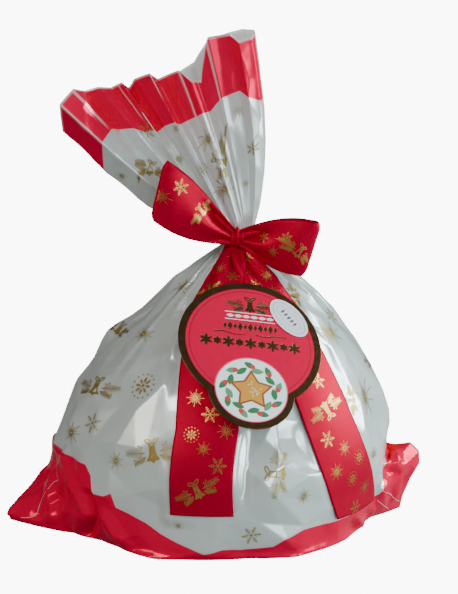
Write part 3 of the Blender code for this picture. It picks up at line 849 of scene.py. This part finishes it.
def satin_finish():
    """Satin: streaks along the ribbon, fine threads across it and darker selvedges."""
    satin = Finish("red satin", Specular_IOR_Level=0.0)
    where = satin.map()
    across, _ = satin.axes(where)
    selvedge = abs(across).above(0.955, 0.006)
    streaks = satin.noise(where, 3.0, 3, (26, 0.6, 1))
    tone = satin.mix(streaks, SATIN, darker(SATIN, 0.84))
    satin.set(
        Base_Color=satin.mix(selvedge * 0.5, tone, darker(SATIN, 0.5)),
        Roughness=0.31 + streaks * 0.10 + selvedge * 0.15,
        Metallic=0.36 - selvedge * 0.22,
    )
    threads = satin.node("ShaderNodeTexWave", {"bands_direction": "Y"}, {"Vector": where, "Scale": 50.0})
    soft = satin.noise(satin.place(), 70, 2)
    satin.set(Normal=satin.bump(threads, 0.00004, 0.5, satin.bump(soft, 0.0006, 0.4)))
    return satin


satin = satin_finish()


def set_map(made, places):
    """Stores the piece's own map, from two numbers for each vertex."""
    corner = np.empty(len(made.data.loops), np.int32)
    made.data.loops.foreach_get("vertex_index", corner)
    made.data.uv_layers.new(name="UVMap").data.foreach_set("uv", places[corner].ravel())


def strip(name, points, flip=False):
    """A stretch of ribbon from a grid of points (rows along it, columns across). Its map runs from -1
    to 1 across, and along it in widths of the ribbon."""
    rows, columns = points.shape[:2]
    faces = quads(rows, columns, False, flip)
    made = piece(name, points.reshape(-1, 3), faces, satin, "ribbon", "ribbon")
    step = np.linalg.norm(np.diff(points[:, columns // 2], axis=0), axis=1)
    run = np.concatenate([[0], np.cumsum(step)]) / RIBBON_WIDTH
    set_map(made, np.stack([np.tile(np.linspace(-1, 1, columns), rows), np.repeat(run, columns)], axis=1))
    cloth = made.modifiers.new("Cloth", "SOLIDIFY")
    cloth.thickness = SATIN_THICKNESS * MM
    cloth.offset = 0
    return made


def tail_skin(tail, rows=150, columns=33):
    """A tail: level rows on the body's radius, standing off a little. A low sine along it makes soft
    waves, a cosine across it makes pleats towards the knot, and the left one has a round hump there."""
    end, lift, turns = tail
    height = np.linspace(end, TAIL_TOP, rows)[:, None]
    across = np.linspace(-1, 1, columns)[None]
    off = RIBBON_GAP + lift + 8 * smooth_step((height - 160) / 30)
    radius = body_radius(height) + off
    turn = keyed(turns, height) + across * tail_half_turn(tail, height, radius)
    phase = 1.0 if tail is LEFT_TAIL else 2.4
    wave = 0.4 * np.sin(height / 15 + phase + across) * smooth_step((height - end) / 25)
    gathered = smooth_step((height - 148) / 34) * smooth_step((194 - height) / 12)
    pleat = 3.0 * gathered * np.cos(math.pi * (1.5 * across + 0.35 * phase + 0.012 * (height - 170)))
    radius = film_radius(turn, height) + off + wave + pleat
    if tail is LEFT_TAIL:
        radius += 5.5 * np.exp(-((height - 170 + 5 * across) / 5) ** 2 - ((across - 0.35) / 0.5) ** 2)
    angle = np.radians(turn)
    return np.stack([
        body_middle(height) + radius * np.sin(angle),
        -radius * np.cos(angle),
        height + 0 * across,
    ], axis=-1)


left_tail = Skin(tail_skin(LEFT_TAIL), closed=False)
right_tail = Skin(tail_skin(RIGHT_TAIL), closed=False)
for name, skin in (("ribbon_tail_left", left_tail), ("ribbon_tail_right", right_tail)):
    strip(name, skin.points)


# ---------------------------------------------------------------- ribbon: the loops
# The bow's two loops, of the same satin: each goes out from the knot, folds over and comes back behind
# itself. The knot grips both ends, which gathers them.

KNOT_AT, KNOT_SIZE = (11.5, -18, 197), (8, 7.5, 8)
# Loops: how far each reaches out and up, its lean in degrees, its width and its depth.
LEFT_LOOP = ((-54, 34), 14, 41, 13)
RIGHT_LOOP = ((52, -6), 17, 38, 14)
LOOP_ROOT_SHARE, LOOP_FULL_AT = 0.24, 0.8


def loop_skin(loop, rows=121, columns=33):
    """A loop: out from the knot in front, round its fold and back behind. Its reach and its width grow
    as half sines, a sine keeps its two halves apart, and a cosine across it makes pleats by the knot."""
    (out_x, out_z), lean, width, depth = loop
    share = np.linspace(-1, 1, rows)[:, None]
    across = np.linspace(-1, 1, columns)[None]
    run = np.sin(0.5 * math.pi * (1 - np.abs(share) ** 1.6))
    widening = np.sin(0.5 * math.pi * np.minimum(run / LOOP_FULL_AT, 1))
    half = 0.5 * width * (LOOP_ROOT_SHARE + (1 - LOOP_ROOT_SHARE) * widening) * across
    tilt = math.radians(lean) * smooth_step(run)
    bulge = 0.5 * depth * np.sin(math.pi * share) * (0.35 + 0.65 * run)
    gathered = 1 - smooth_step(run * 1.4)
    pleat = 2.2 * gathered * np.cos(math.pi * (1.6 * across + 0.3)) * np.sign(share)
    hollow = 5.5 * np.exp(-((run - 0.22) / 0.14) ** 2 - ((across - 0.35) / 0.3) ** 2)
    crown = 2.8 * (1 - across**2) * np.sign(share) * smooth_step(run * 2) * smooth_step((1 - run) * 4)
    rounded = 2.2 * np.clip((np.abs(across) - 0.7) / 0.3, 0, 1) ** 2 * run**6
    x = KNOT_AT[0] + out_x * (run - rounded / 54) + half * np.sin(tilt)
    y = KNOT_AT[1] - 9 * run - 2 + bulge + pleat + crown + hollow * (share < 0)
    z = KNOT_AT[2] + out_z * run + half * np.cos(tilt)
    return np.stack([x, y, z], axis=-1)


left_loop = Skin(loop_skin(LEFT_LOOP), closed=False)
right_loop = Skin(loop_skin(RIGHT_LOOP), closed=False, flip=True)
loops = [
    strip("ribbon_loop_left", left_loop.points),
    strip("ribbon_loop_right", right_loop.points, flip=True),
]


# ---------------------------------------------------------------- ribbon: the band and the knot
# The band is the turn of the ribbon that draws the film's neck tight. The knot in front of it is the
# ribbon passed over itself and pulled, so it is crumpled into a few tight folds.

BAND_HEIGHT, BAND_HALF_WIDTH = 196, 4.2

# The band: a ring whose radius ripples by a cosine across it.
turns = np.linspace(0, 2 * math.pi, 97)[:, None]
across = np.linspace(-1, 1, 17)[None]
band_radius = NECK_RADIUS + 0.9 + 0.5 * np.cos(math.pi * 3 * across + 0.6 * np.sin(3 * turns))
band = np.stack([
    NECK_X + band_radius * np.cos(turns),
    band_radius * np.sin(turns),
    BAND_HEIGHT + BAND_HALF_WIDTH * across + 0 * turns,
], axis=-1)
around_neck = strip("ribbon_band", band)

# The knot: a ring on its side, with folds by a cosine across it, thinner towards its two ends.
around_knot = np.linspace(0, 2 * math.pi, 65)[:, None]
swell = 1 + 0.16 * np.cos(2.5 * math.pi * across + 0.8 * np.sin(around_knot)) - 0.3 * across**2
knot = np.stack([
    KNOT_AT[0] + KNOT_SIZE[0] * 0.62 * across + 1.2 * np.sin(around_knot + 0.5),
    KNOT_AT[1] - KNOT_SIZE[1] * swell * np.cos(around_knot) * 0.8,
    KNOT_AT[2] + KNOT_SIZE[2] * swell * np.sin(around_knot) * 0.8,
], axis=-1)
tied = strip("ribbon_knot", knot)


# ---------------------------------------------------------------- gold print on the film
# Stars, snow crystals, rosettes and fir sprigs in gold foil, stamped all over the film before the bag
# is filled. Each is a thin flat drawing, as (points, faces), laid on the surface that carries it.


def moved(shape, x, y, turn=0.0):
    """A drawing turned by an angle and shifted."""
    points, faces = shape
    c, s = math.cos(turn), math.sin(turn)
    return points @ np.array([[c, s], [-s, c]]) + (x, y), faces


def band_between(first, second):
    """The band between two lines with as many points."""
    count = len(first)
    return np.vstack([first, second]), [(k, k + 1, count + k + 1, count + k) for k in range(count - 1)]


def tapered(along, half):
    """A level band from its places along the line and half its width at each."""
    return band_between(np.stack([along, half], axis=1), np.stack([along, -half], axis=1))


def ray(angle, start, end, wide, narrow, steps=5):
    """A line out from the middle, with its width changing evenly."""
    line = tapered(np.linspace(start, end, steps), np.linspace(wide, narrow, steps) / 2)
    return moved(line, 0, 0, angle)


def leaf(x, y, angle, length, width, steps=7):
    """A pointed oval from (x, y) outwards: its width goes as a power of a half sine."""
    half = 0.5 * width * np.sin(np.linspace(0.06, math.pi - 0.06, steps)) ** 0.8
    return moved(tapered(np.linspace(0, length, steps), half), x, y, angle)


def dot(x, y, radius, sides=8):
    """A round spot."""
    turns = 2 * math.pi * np.arange(sides) / sides
    edge = np.stack([x + radius * np.cos(turns), y + radius * np.sin(turns)], axis=1)
    return edge, [tuple(range(sides))]


def star(size, rays=16):
    """Long and short rays in turn round a small middle."""
    step = 2 * math.pi / rays
    long, short = size / 2, size * 0.31
    thick = 0.034 * size
    return gather([ray(k * step, 0.6, short if k % 2 else long, thick, 0.7 * thick) for k in range(rays)])


def crystal(size):
    """A snow crystal: six arms, each with two pairs of twigs and a dot at its tip."""
    shapes = []
    for k in range(6):
        angle = k * math.pi / 3
        way = np.array([math.cos(angle), math.sin(angle)])
        shapes.append(ray(angle, 0, size * 0.42, 0.45, 0.4))
        shapes.append(dot(*(way * size * 0.47), 0.055 * size))
        for at, long in ((0.2, 0.14), (0.32, 0.12)):
            for side in (-1, 1):
                twig = ray(angle + side * 1.0, 0, size * long, 0.4, 0.35, 3)
                shapes.append(moved(twig, *(way * size * at)))
    return gather(shapes)


def rosette(size):
    """Petals round a middle, inside a ring of dots."""
    shapes = [dot(0, 0, 0.07 * size)]
    for k in range(8):
        petal = leaf(0.1 * size, 0, 0, 0.22 * size, 0.1 * size)
        shapes.append(moved(petal, 0, 0, k * math.pi / 4))
    for k in range(14):
        angle = (k + 0.5) * math.pi / 7
        shapes.append(dot(0.44 * size * math.cos(angle), 0.44 * size * math.sin(angle), 0.038 * size, 6))
    return gather(shapes)


def fir(x, y, angle, length):
    """A fir twig: a stem with needles in pairs, shorter towards the tip."""
    shapes = [ray(0, 0, length, 0.5, 0.35, 6)]
    for at in np.linspace(0.1, 0.95, 8):
        for side in (-1, 1):
            needle = ray(side * 0.75, 0, length * (0.40 - 0.22 * at), 0.5, 0.3, 3)
            shapes.append(moved(needle, length * at, 0))
    return [moved(shape, x, y, angle) for shape in shapes]


def stroke(points, width):
    """A line of even width through some points."""
    points = np.asarray(points, float)
    along = np.gradient(points, axis=0)
    across = np.stack([-along[:, 1], along[:, 0]], axis=1) / np.linalg.norm(along, axis=1, keepdims=True)
    return band_between(points + across * width / 2, points - across * width / 2)


def bell(size, line):
    """A bell drawn in outline, with two bands across it, a clapper and a bow of two loops above."""
    height = np.linspace(-0.5, 0.5, 13) * size
    half = size * (0.16 + 0.30 * np.exp(-((height / size + 0.5) / 0.22)))
    shapes = [stroke(np.stack([side * half, height], axis=1), line) for side in (-1, 1)]
    shapes.append(stroke([(-0.2 * size, 0.5 * size), (0, 0.56 * size), (0.2 * size, 0.5 * size)], line))
    for at in (0, 1, 7):
        sag = (0, height[at] - 0.03 * size)
        shapes.append(stroke([(-half[at], height[at]), sag, (half[at], height[at])], line))
    filled = [(-share * half[at], height[at]) for share in (0.85, -0.85) for at in (1, 11)]
    shapes.append((np.array(filled), [(0, 1, 3, 2)]))
    shapes.append(dot(0, -0.6 * size, 0.1 * size))
    turns = np.linspace(0, 2 * math.pi, 15)
    for side in (-1, 1):
        loop_x = side * 0.24 * (1 - np.cos(turns))
        loop_y = 0.62 + 0.13 * np.sin(turns) + 0.1 * (1 - np.cos(turns))
        shapes.append(stroke(np.stack([loop_x, loop_y], axis=1) * size, line))
    return shapes


def sprig(size):
    """A bell between two fir twigs, with berries in pairs over and under them."""
    shapes = fir(-0.13 * size, 0.0, math.radians(174), 0.37 * size)
    shapes += fir(0.13 * size, 0.0, math.radians(6), 0.37 * size)
    shapes += fir(-0.12 * size, -0.06 * size, math.radians(205), 0.26 * size)
    shapes += fir(0.12 * size, -0.06 * size, math.radians(-25), 0.26 * size)
    shapes += bell(0.26 * size, 0.024 * size)
    for x, y in ((0.2, 0.1), (0.26, 0.13), (0.3, -0.12), (0.36, -0.1)):
        shapes += [dot(side * x * size, y * size, 0.02 * size, 6) for side in (-1, 1)]
    return gather(shapes)


def foil_finish(name, colour, roughness, metallic=1.0):
    """Stamped metal foil with a fine uneven grain."""
    foil = Finish(name, Metallic=metallic)
    grain = foil.noise(foil.place(), 900, 2)
    foil.set(
        Base_Color=foil.mix(grain, colour, darker(colour, 0.7)),
        Roughness=roughness + grain * 0.15,
        Normal=foil.bump(grain, 0.00008, 0.5),
    )
    return foil


film_gold = foil_finish("gold on film", (0.46, 0.30, 0.075), 0.28, 0.6)
DRAWINGS = {"star": star, "crystal": crystal, "rosette": rosette, "sprig": sprig}


def print_on(name, skin, marks, finish, slot, node, lift=0.2):
    """Lays (row, column, drawing, size, turn, and how much wider than drawn) marks on a skin and makes
    them one piece."""
    laid = []
    for row, column, drawing, size, turn, *wider in marks:
        flat, faces = moved(DRAWINGS[drawing](size), 0, 0, math.radians(turn))
        laid.append((skin.lay(row, column, flat * (1 + sum(wider), 1), lift), faces))
    return piece(name, *gather(laid), finish, slot, node, smooth=False)


# On the front of the body: degrees round, height, drawing, size, turn. Towards the sides the film was
# stretched before the print, so the drawings there are wider.
BODY_PRINT = (
    (-55, 133, "star", 14, 0), (-60, 69, "star", 15, 10), (-36, 61, "star", 13, 20),
    (27, 41, "star", 12, 0), (59, 133, "star", 21, 0), (65, 91, "star", 24, 15),
    (-60, 164, "star", 17, 0), (10, 18, "crystal", 12, 8), (-36, 106, "rosette", 20, 0),
    (-60, 98, "sprig", 34, 14), (-23, 70, "sprig", 38, 14), (18, 58, "sprig", 36, 84),
    (52, 158, "sprig", 24, 60), (-51, 79, "crystal", 13, 30), (-13, 24, "rosette", 6, 0),
    (60, 55, "rosette", 9, 0), (88, 105, "sprig", 26, -20), (84, 62, "crystal", 13, 0),
    (-86, 82, "crystal", 14, 0), (-84, 128, "sprig", 26, 12), (78, 140, "crystal", 12, 0),
    (53, 93, "sprig", 20, 80),
)
REAR_PRINT = (("star", 13), ("crystal", 13), ("sprig", 27), ("rosette", 15))  # in turn, with their sizes
REAR_LEVELS = (62, 88, 116, 146)


def row_at(height):
    """The body's row, counted in fractions, that stands at this height."""
    return np.interp(height, row_height, np.arange(len(row_height)))


body_marks = [
    (row_at(height), column_at(turn), drawing, size, tilt, 0.5 * smooth_step((abs(turn) - 42) / 20))
    for turn, height, drawing, size, tilt in BODY_PRINT
]
for level, height in enumerate(REAR_LEVELS):
    for number, turn in enumerate(np.arange(106, 256, 22 + 3 * level)):
        row = row_at(height + random.uniform(-5, 5))
        column = column_at(turn + 9 * (level % 2) + random.uniform(-3, 3))
        body_marks.append((row, column, *REAR_PRINT[(number + 2 * level) % 4], random.uniform(-25, 25)))
print_on("gold_on_body", body, body_marks, film_gold, "film", "bag")

# On the front of the fan, as (x, z) seen from the front, and on its back by columns.
FAN_PRINT = (
    (-8, 264, "star", 14, 0), (3, 229, "star", 17, 10), (1, 249, "sprig", 28, 86),
    (-48, 244, "sprig", 24, -35), (-13, 242, "rosette", 13, 0), (-28, 249, "star", 8, 0),
    (13, 282, "star", 9, 0), (-68, 238, "rosette", 8, 0), (23, 258, "crystal", 9, 0),
    (18, 234, "rosette", 7, 0), (-50, 268, "crystal", 12, 0), (-30, 272, "star", 7, 0),
)
fan_marks = [(*fan.nearest(x, z), drawing, size, tilt) for x, z, drawing, size, tilt in FAN_PRINT]
for number in range(11):
    row = FAN_ROWS * random.uniform(0.3, 0.62)
    column = front_columns + 12 + 12.5 * number
    drawing, size = REAR_PRINT[number % 4]
    fan_marks.append((row, column, drawing, 0.8 * size, random.uniform(-30, 30)))
print_on("gold_on_fan", fan, fan_marks, film_gold, "film", "bag")


# ---------------------------------------------------------------- gold print on the ribbon
# The same four drawings in a warmer foil, stamped along the satin before it is tied.

ribbon_gold = foil_finish("gold on satin", (0.70, 0.35, 0.09), 0.28)
PRINT_LIFT = 0.3

# On the tails: share across (-1 to 1), height, drawing, size, turn.
LEFT_TAIL_PRINT = (
    (-0.4, 104, "star", 12, 0), (0.1, 95, "crystal", 11, 0), (-0.45, 83, "rosette", 11, 0),
    (0.62, 86, "star", 12, 8), (0.0, 75, "star", 10, 0), (0.5, 65, "crystal", 11, 0),
    (-0.1, 49, "sprig", 30, 28), (-0.5, 165, "sprig", 18, 40), (0.2, 128, "rosette", 11, 0),
    (-0.5, 135, "star", 11, 0), (0.1, 185, "star", 9, 0), (-0.35, 178, "star", 9, 0),
    (0.45, 173, "crystal", 9, 0),
)
RIGHT_TAIL_PRINT = (
    (0.15, 110, "crystal", 11, 0), (0.0, 93, "sprig", 30, -160), (-0.4, 75, "crystal", 11, 0),
    (0.1, 67, "star", 11, 0), (0.55, 58, "rosette", 11, 0), (-0.5, 53, "star", 12, 10),
    (0.0, 45, "rosette", 11, 0), (0.45, 36, "star", 12, 0), (-0.2, 24, "crystal", 11, 0),
    (-0.3, 168, "crystal", 9, 0), (0.4, 163, "star", 11, 0), (0.0, 132, "star", 11, 0),
    (0.15, 184, "star", 9, 0), (-0.25, 176, "rosette", 9, 0), (0.5, 173, "star", 10, 0),
)
for name, skin, tail, marks in (
    ("gold_on_left_tail", left_tail, LEFT_TAIL, LEFT_TAIL_PRINT),
    ("gold_on_right_tail", right_tail, RIGHT_TAIL, RIGHT_TAIL_PRINT),
):
    rows, columns = skin.points.shape[:2]
    placed = [
        ((height - tail[0]) / (TAIL_TOP - tail[0]) * (rows - 1), (across + 1) / 2 * (columns - 1), *rest)
        for across, height, *rest in marks
    ]
    print_on(name, skin, placed, ribbon_gold, "ribbon", "ribbon", lift=PRINT_LIFT)

LEFT_LOOP_PRINT = ((-39, 228, "star", 11, 0), (-27, 234, "crystal", 11, 0), (-13, 217, "sprig", 22, -35))
RIGHT_LOOP_PRINT = ((30, 198, "crystal", 8, 0), (45, 199, "crystal", 8, 0), (36, 189, "star", 9, 0),
                    (54, 190, "sprig", 24, 66))
for name, skin, marks in (("gold_on_left_loop", left_loop, LEFT_LOOP_PRINT),
                          ("gold_on_right_loop", right_loop, RIGHT_LOOP_PRINT)):
    placed = [(*skin.nearest(x, z), drawing, size, tilt) for x, z, drawing, size, tilt in marks]
    print_on(name, skin, placed, ribbon_gold, "ribbon", "ribbon", lift=PRINT_LIFT)


# ---------------------------------------------------------------- tag
# A die-cut card: a disc with a smaller disc let into its lower edge. It is coated red with a bronze
# foil rim and foil ornaments, and it leans back on the tails, a little clockwise.

TAG_RADIUS, TAG_LOBE_RADIUS, TAG_LOBE_DROP, TAG_THICKNESS = 48, 28.5, 36, 0.7
TAG_AT = np.array([19.8, -79.4, 136.2])
TAG_LEAN, TAG_FACING, TAG_ROLL = math.radians(45), math.radians(17), math.radians(12)
TAG_CURL = 0.9  # how far its left and right edges lie back
TAG_RIM = 4.8
MEDALLION_RADIUS = 24.2
INK_STEP = 0.02

fall = np.array([
    math.sin(TAG_FACING) * math.sin(TAG_LEAN),
    -math.cos(TAG_FACING) * math.sin(TAG_LEAN),
    -math.cos(TAG_LEAN),
])
level = np.array([math.cos(TAG_FACING), math.sin(TAG_FACING), 0.0])
tag_right = level * math.cos(TAG_ROLL) + fall * math.sin(TAG_ROLL)
tag_up = level * math.sin(TAG_ROLL) - fall * math.cos(TAG_ROLL)
tag_out = np.cross(tag_right, tag_up)


def on_tag(flat, out):
    """Points of the card from (right, up) on it and a distance outwards: its sides curl back."""
    flat = np.asarray(flat, float)
    back = TAG_CURL * (flat[..., 0] / TAG_RADIUS) ** 2
    lift = (out - back)[..., None]
    return TAG_AT + flat[..., :1] * tag_right + flat[..., 1:] * tag_up + lift * tag_out


def tag_outline(inset):
    """Two arcs that meet in two notches, drawn in by the inset."""
    drop, big, small = TAG_LOBE_DROP, TAG_RADIUS - inset, TAG_LOBE_RADIUS - inset
    notch_y = -(drop**2 + big**2 - small**2) / (2 * drop)
    notch_x = math.sqrt(big**2 - notch_y**2)
    big_start = math.atan2(notch_y, notch_x)
    small_start = math.atan2(notch_y + drop, notch_x)
    upper = np.linspace(big_start, math.pi - big_start, 121)
    lower = np.linspace(math.pi - small_start, 2 * math.pi + small_start, 81)[1:-1]
    return np.concatenate([
        np.stack([big * np.cos(upper), big * np.sin(upper)], axis=1),
        np.stack([small * np.cos(lower), small * np.sin(lower) - drop], axis=1),
    ])


def card_piece(name, outline, centre, thickness, out, finish, slot, node):
    """A flat plate with slightly rounded edges, and its own map in millimetres."""
    half = thickness / 2
    rings = ((0.1, -half), (0.6, -half), (0.995, -half), (1, -half * 0.7), (1, half * 0.7), (0.995, half),
             (0.6, half), (0.1, half))
    flat = np.stack([centre + (outline - centre) * share for share, _ in rings])
    depth = np.stack([np.full(len(outline), out + at) for _, at in rings])
    points = np.vstack([
        on_tag(flat, depth).reshape(-1, 3),
        on_tag(centre[None], np.array([out - half])),
        on_tag(centre[None], np.array([out + half])),
    ])
    count, back, front = len(outline), len(points) - 2, len(points) - 1
    last = (len(rings) - 1) * count
    faces = quads(len(rings), count, closed=True)
    faces += [(back, (c + 1) % count, c) for c in range(count)]
    faces += [(front, last + c, last + (c + 1) % count) for c in range(count)]
    made = piece(name, points, faces, finish, slot, node, smooth=False)
    set_map(made, np.vstack([flat.reshape(-1, 2), centre, centre]))
    return made


def shape_piece(name, inks, out, slot, node):
    """Flat drawings on the card, one material to each ink, every ink a little above the one before."""
    layers, materials = [], []
    for number, (_, shapes) in enumerate(inks):
        flat, faces = gather(shapes)
        layers.append((on_tag(flat, np.full(len(flat), out + INK_STEP * number)), faces))
        materials += [number] * len(faces)
    made = piece(name, *gather(layers), inks[0][0], slot, node, smooth=False)
    for finish, _ in inks[1:]:
        made.data.materials.append(finish.material)
    made.data.polygons.foreach_set("material_index", materials)
    return made


def ring(x, y, radius, width, sides=72, squash=1.0, turn=0.0):
    """A thin oval line of this radius, with its height squashed by a share and then turned."""
    turns = 2 * math.pi * np.arange(sides) / sides
    way = np.stack([np.cos(turns), squash * np.sin(turns)], axis=1)
    points = np.vstack([way * (radius + width / 2), way * (radius - width / 2)])
    faces = [(k, (k + 1) % sides, sides + (k + 1) % sides, sides + k) for k in range(sides)]
    return moved((points, faces), x, y, turn)


def lozenge(width, height):
    """A square on its corner, round the middle."""
    return np.array([(width / 2, 0), (0, height / 2), (-width / 2, 0), (0, -height / 2)]), [(0, 1, 2, 3)]


def tag_finish():
    """Red coat, a foil rim all round, a thin gold line inside it, and a white round field in the lobe."""
    card = Finish("coated card", Coat_Weight=0.02, Coat_Roughness=0.12, Specular_IOR_Level=0.05)
    across, upward = card.axes(card.map())

    def inside(radius, drop):
        """How deep a point lies inside a circle whose middle is lower than the card's by the drop."""
        rise = upward + drop
        square = across * across + rise * rise
        return radius - square.math("SQRT", square)

    disc = inside(TAG_RADIUS, 0.0)
    depth = disc.math("MAXIMUM", disc, inside(TAG_LOBE_RADIUS, TAG_LOBE_DROP))
    field = depth.above(TAG_RIM, 0.08)
    line = disc.above(TAG_RIM + 2.3, 0.06) * (1 - disc.above(TAG_RIM + 2.75, 0.06))
    medal = inside(MEDALLION_RADIUS, TAG_LOBE_DROP - 0.3)
    white, pink = medal.above(0.9, 0.08), medal.above(0.0, 0.08)
    line = line * (1 - pink)
    grain = card.noise(card.map(), 0.25, 3)
    rim_tone = card.mix(grain, (0.060, 0.028, 0.012), (0.11, 0.054, 0.025))
    red = card.mix(grain, (0.64, 0.0010, 0.044), (0.70, 0.0013, 0.052))
    red = card.mix(line * 0.85, red, (0.30, 0.06, 0.03))
    colour = card.mix(field, rim_tone, red)
    colour = card.mix(pink, colour, (0.70, 0.10, 0.16))
    card.set(
        Base_Color=card.mix(white, colour, (0.74, 0.82, 0.80)),
        Metallic=(1 - field) * 0.85 + line * 0.5 + field * (1 - pink) * 0.25,
        Roughness=0.30 + grain * 0.10,
    )
    return card


bronze_ink = foil_finish("bronze foil", (0.17, 0.075, 0.035), 0.30)
# A paler gold foil, used only as the painted highlight along the ornaments' lit edges.
lit_edge_foil = foil_finish("painted highlight foil", (0.75, 0.52, 0.28), 0.30)


def ink(name, colour):
    """Flat printing ink, faintly uneven."""
    paint = Finish(name, Roughness=0.4)
    paint.set(Base_Color=paint.mix(paint.noise(paint.place(), 500, 2), colour, darker(colour, 0.8)))
    return paint


card_middle = np.array([0, -12.0])
card_piece("tag_card", tag_outline(0), card_middle, TAG_THICKNESS, 0.0, tag_finish(), "card", "tag")

# The ornaments from top to bottom: a sprig, a white band of leaves between two lines, a row of
# lozenges, two wavy lines and a row of flowers. Each in bronze has a pale gold copy behind it, shifted
# a little left and up, as a painted highlight on its lit edge.
front = TAG_THICKNESS / 2 + 0.04
white_shapes = [moved(ray(0, -17, 17, 0.55, 0.55), 0, height) for height in (23.4, 17.6)]
white_shapes += [moved(leaf(0, 0, 0, 5.0, 2.4), 5.4 * (k - 2.95), 20.5) for k in range(6)]
bronze_shapes = [moved(sprig(30), 0, 29.5)]
for k in range(11):
    bronze_shapes.append(moved(lozenge(2.5 + 0.9 * (k % 2), 4.2 + 2.2 * (k % 2)), 3.4 * (k - 5), 12.2))
for k in range(9):
    petal_length = 2.9 if k % 2 else 4.5
    petals = [leaf(0, 0, math.pi / 3 * n + math.pi / 6, petal_length, 2.0) for n in range(6)]
    bronze_shapes.append(moved(gather(petals), 7.4 * (k - 4), -0.4))
for side in (-1, 1):
    bronze_shapes.append(stroke([(side * x, 6.6 + 0.8 * math.cos(x / 3)) for x in range(3, 25)], 0.6))
lit_edges = [moved(shape, -0.35, 0.2) for shape in bronze_shapes]
white_ink = ink("white ink", (0.8, 0.74, 0.70))
shape_piece("tag_foil", [(lit_edge_foil, lit_edges), (bronze_ink, bronze_shapes), (white_ink, white_shapes)],
            front, "card", "tag")


# ---------------------------------------------------------------- tag: its medallion
# The white round field in the card's lobe, printed in flat inks: a wreath of leaves and berries round
# a glazed star biscuit with sugar crumbs.

WREATH_LEAVES, WREATH_RADIUS, BERRY_RADIUS = 18, 16.6, 17.6


def in_lobe(radius, angle):
    """A place on the card, this far from the middle of its lobe."""
    return radius * math.cos(angle), radius * math.sin(angle) - TAG_LOBE_DROP


def biscuit(outer):
    """A five-pointed star as ten triangles round its middle."""
    angles = np.arange(10) * math.pi / 5 + math.pi / 10
    points = [in_lobe(0.55 * outer if k % 2 else outer, angle) for k, angle in enumerate(angles)]
    return np.array(points + [in_lobe(0, 0)]), [(10, k, (k + 1) % 10) for k in range(10)]


dark_leaves, pale_leaves, berries = [], [], []
for k in range(WREATH_LEAVES):
    angle = 2 * math.pi * k / WREATH_LEAVES
    tilt = angle + math.pi / 2 + (0.5 if k % 2 else -0.35)
    some = dark_leaves if k % 3 else pale_leaves
    some.append(leaf(*in_lobe(WREATH_RADIUS, angle), tilt, 8.4, 4.2))
    if k % 2 == 0:
        berries.append(dot(*in_lobe(BERRY_RADIUS, angle + 0.12), 1.8, 12))
crumbs = [
    dot(*in_lobe(reach, angle), 0.55, 6)
    for reach, angle in zip(random.uniform(1, 6.5, 14), random.uniform(0, 6.28, 14))
]
shape_piece("tag_medallion", [
    (ink("leaf green", (0.03, 0.17, 0.06)), dark_leaves),
    (ink("pale green", (0.10, 0.30, 0.12)), pale_leaves),
    (ink("berry red", (0.62, 0.03, 0.05)), berries),
    (ink("crust brown", (0.30, 0.07, 0.02)), [biscuit(15.2)]),
    (ink("glaze", (0.62, 0.27, 0.035)), [biscuit(12.6)]),
    (ink("cream", (0.80, 0.66, 0.45)), crumbs),
], front, "card", "tag")


# ---------------------------------------------------------------- seal
# A small oval sticker of white gloss paper, stuck across the card's upper right. It carries two thin
# oval lines and a row of lozenges.

SEAL_LENGTH, SEAL_WIDTH, SEAL_THICKNESS = 33, 19, 0.3
SEAL_AT, SEAL_TURN = np.array([26.5, 23.5]), math.radians(-50)

turns = np.linspace(0, 2 * math.pi, 96, endpoint=False)
oval = np.stack([SEAL_LENGTH / 2 * np.cos(turns), SEAL_WIDTH / 2 * np.sin(turns)], axis=1)
oval, _ = moved((oval, ()), *SEAL_AT, SEAL_TURN)
seal_out = TAG_THICKNESS / 2 + SEAL_THICKNESS / 2 + 0.15
paper = Finish("gloss paper", Roughness=0.35)
paper.set(Base_Color=paper.mix(paper.noise(paper.map(), 0.2, 2), (0.68, 0.66, 0.69), (0.74, 0.72, 0.75)))
card_piece("seal_paper", oval, SEAL_AT, SEAL_THICKNESS, seal_out, paper, "seal", "seal")
lines = [
    ring(*SEAL_AT, SEAL_LENGTH / 2 - 2.2, 0.5, squash=0.50, turn=SEAL_TURN),
    ring(*SEAL_AT, SEAL_LENGTH / 2 - 5.4, 0.4, squash=0.38, turn=SEAL_TURN),
]
row_of_marks = gather([moved(lozenge(2.0, 4.2), (k - 2) * 3.1, 0) for k in range(5)])
shape_piece("seal_lines", [
    (ink("grey ink", (0.30, 0.31, 0.36)), lines),
    (ink("dark ink", (0.10, 0.09, 0.11)), [moved(row_of_marks, *SEAL_AT, SEAL_TURN)]),
], seal_out + SEAL_THICKNESS / 2 + 0.03, "seal", "seal")
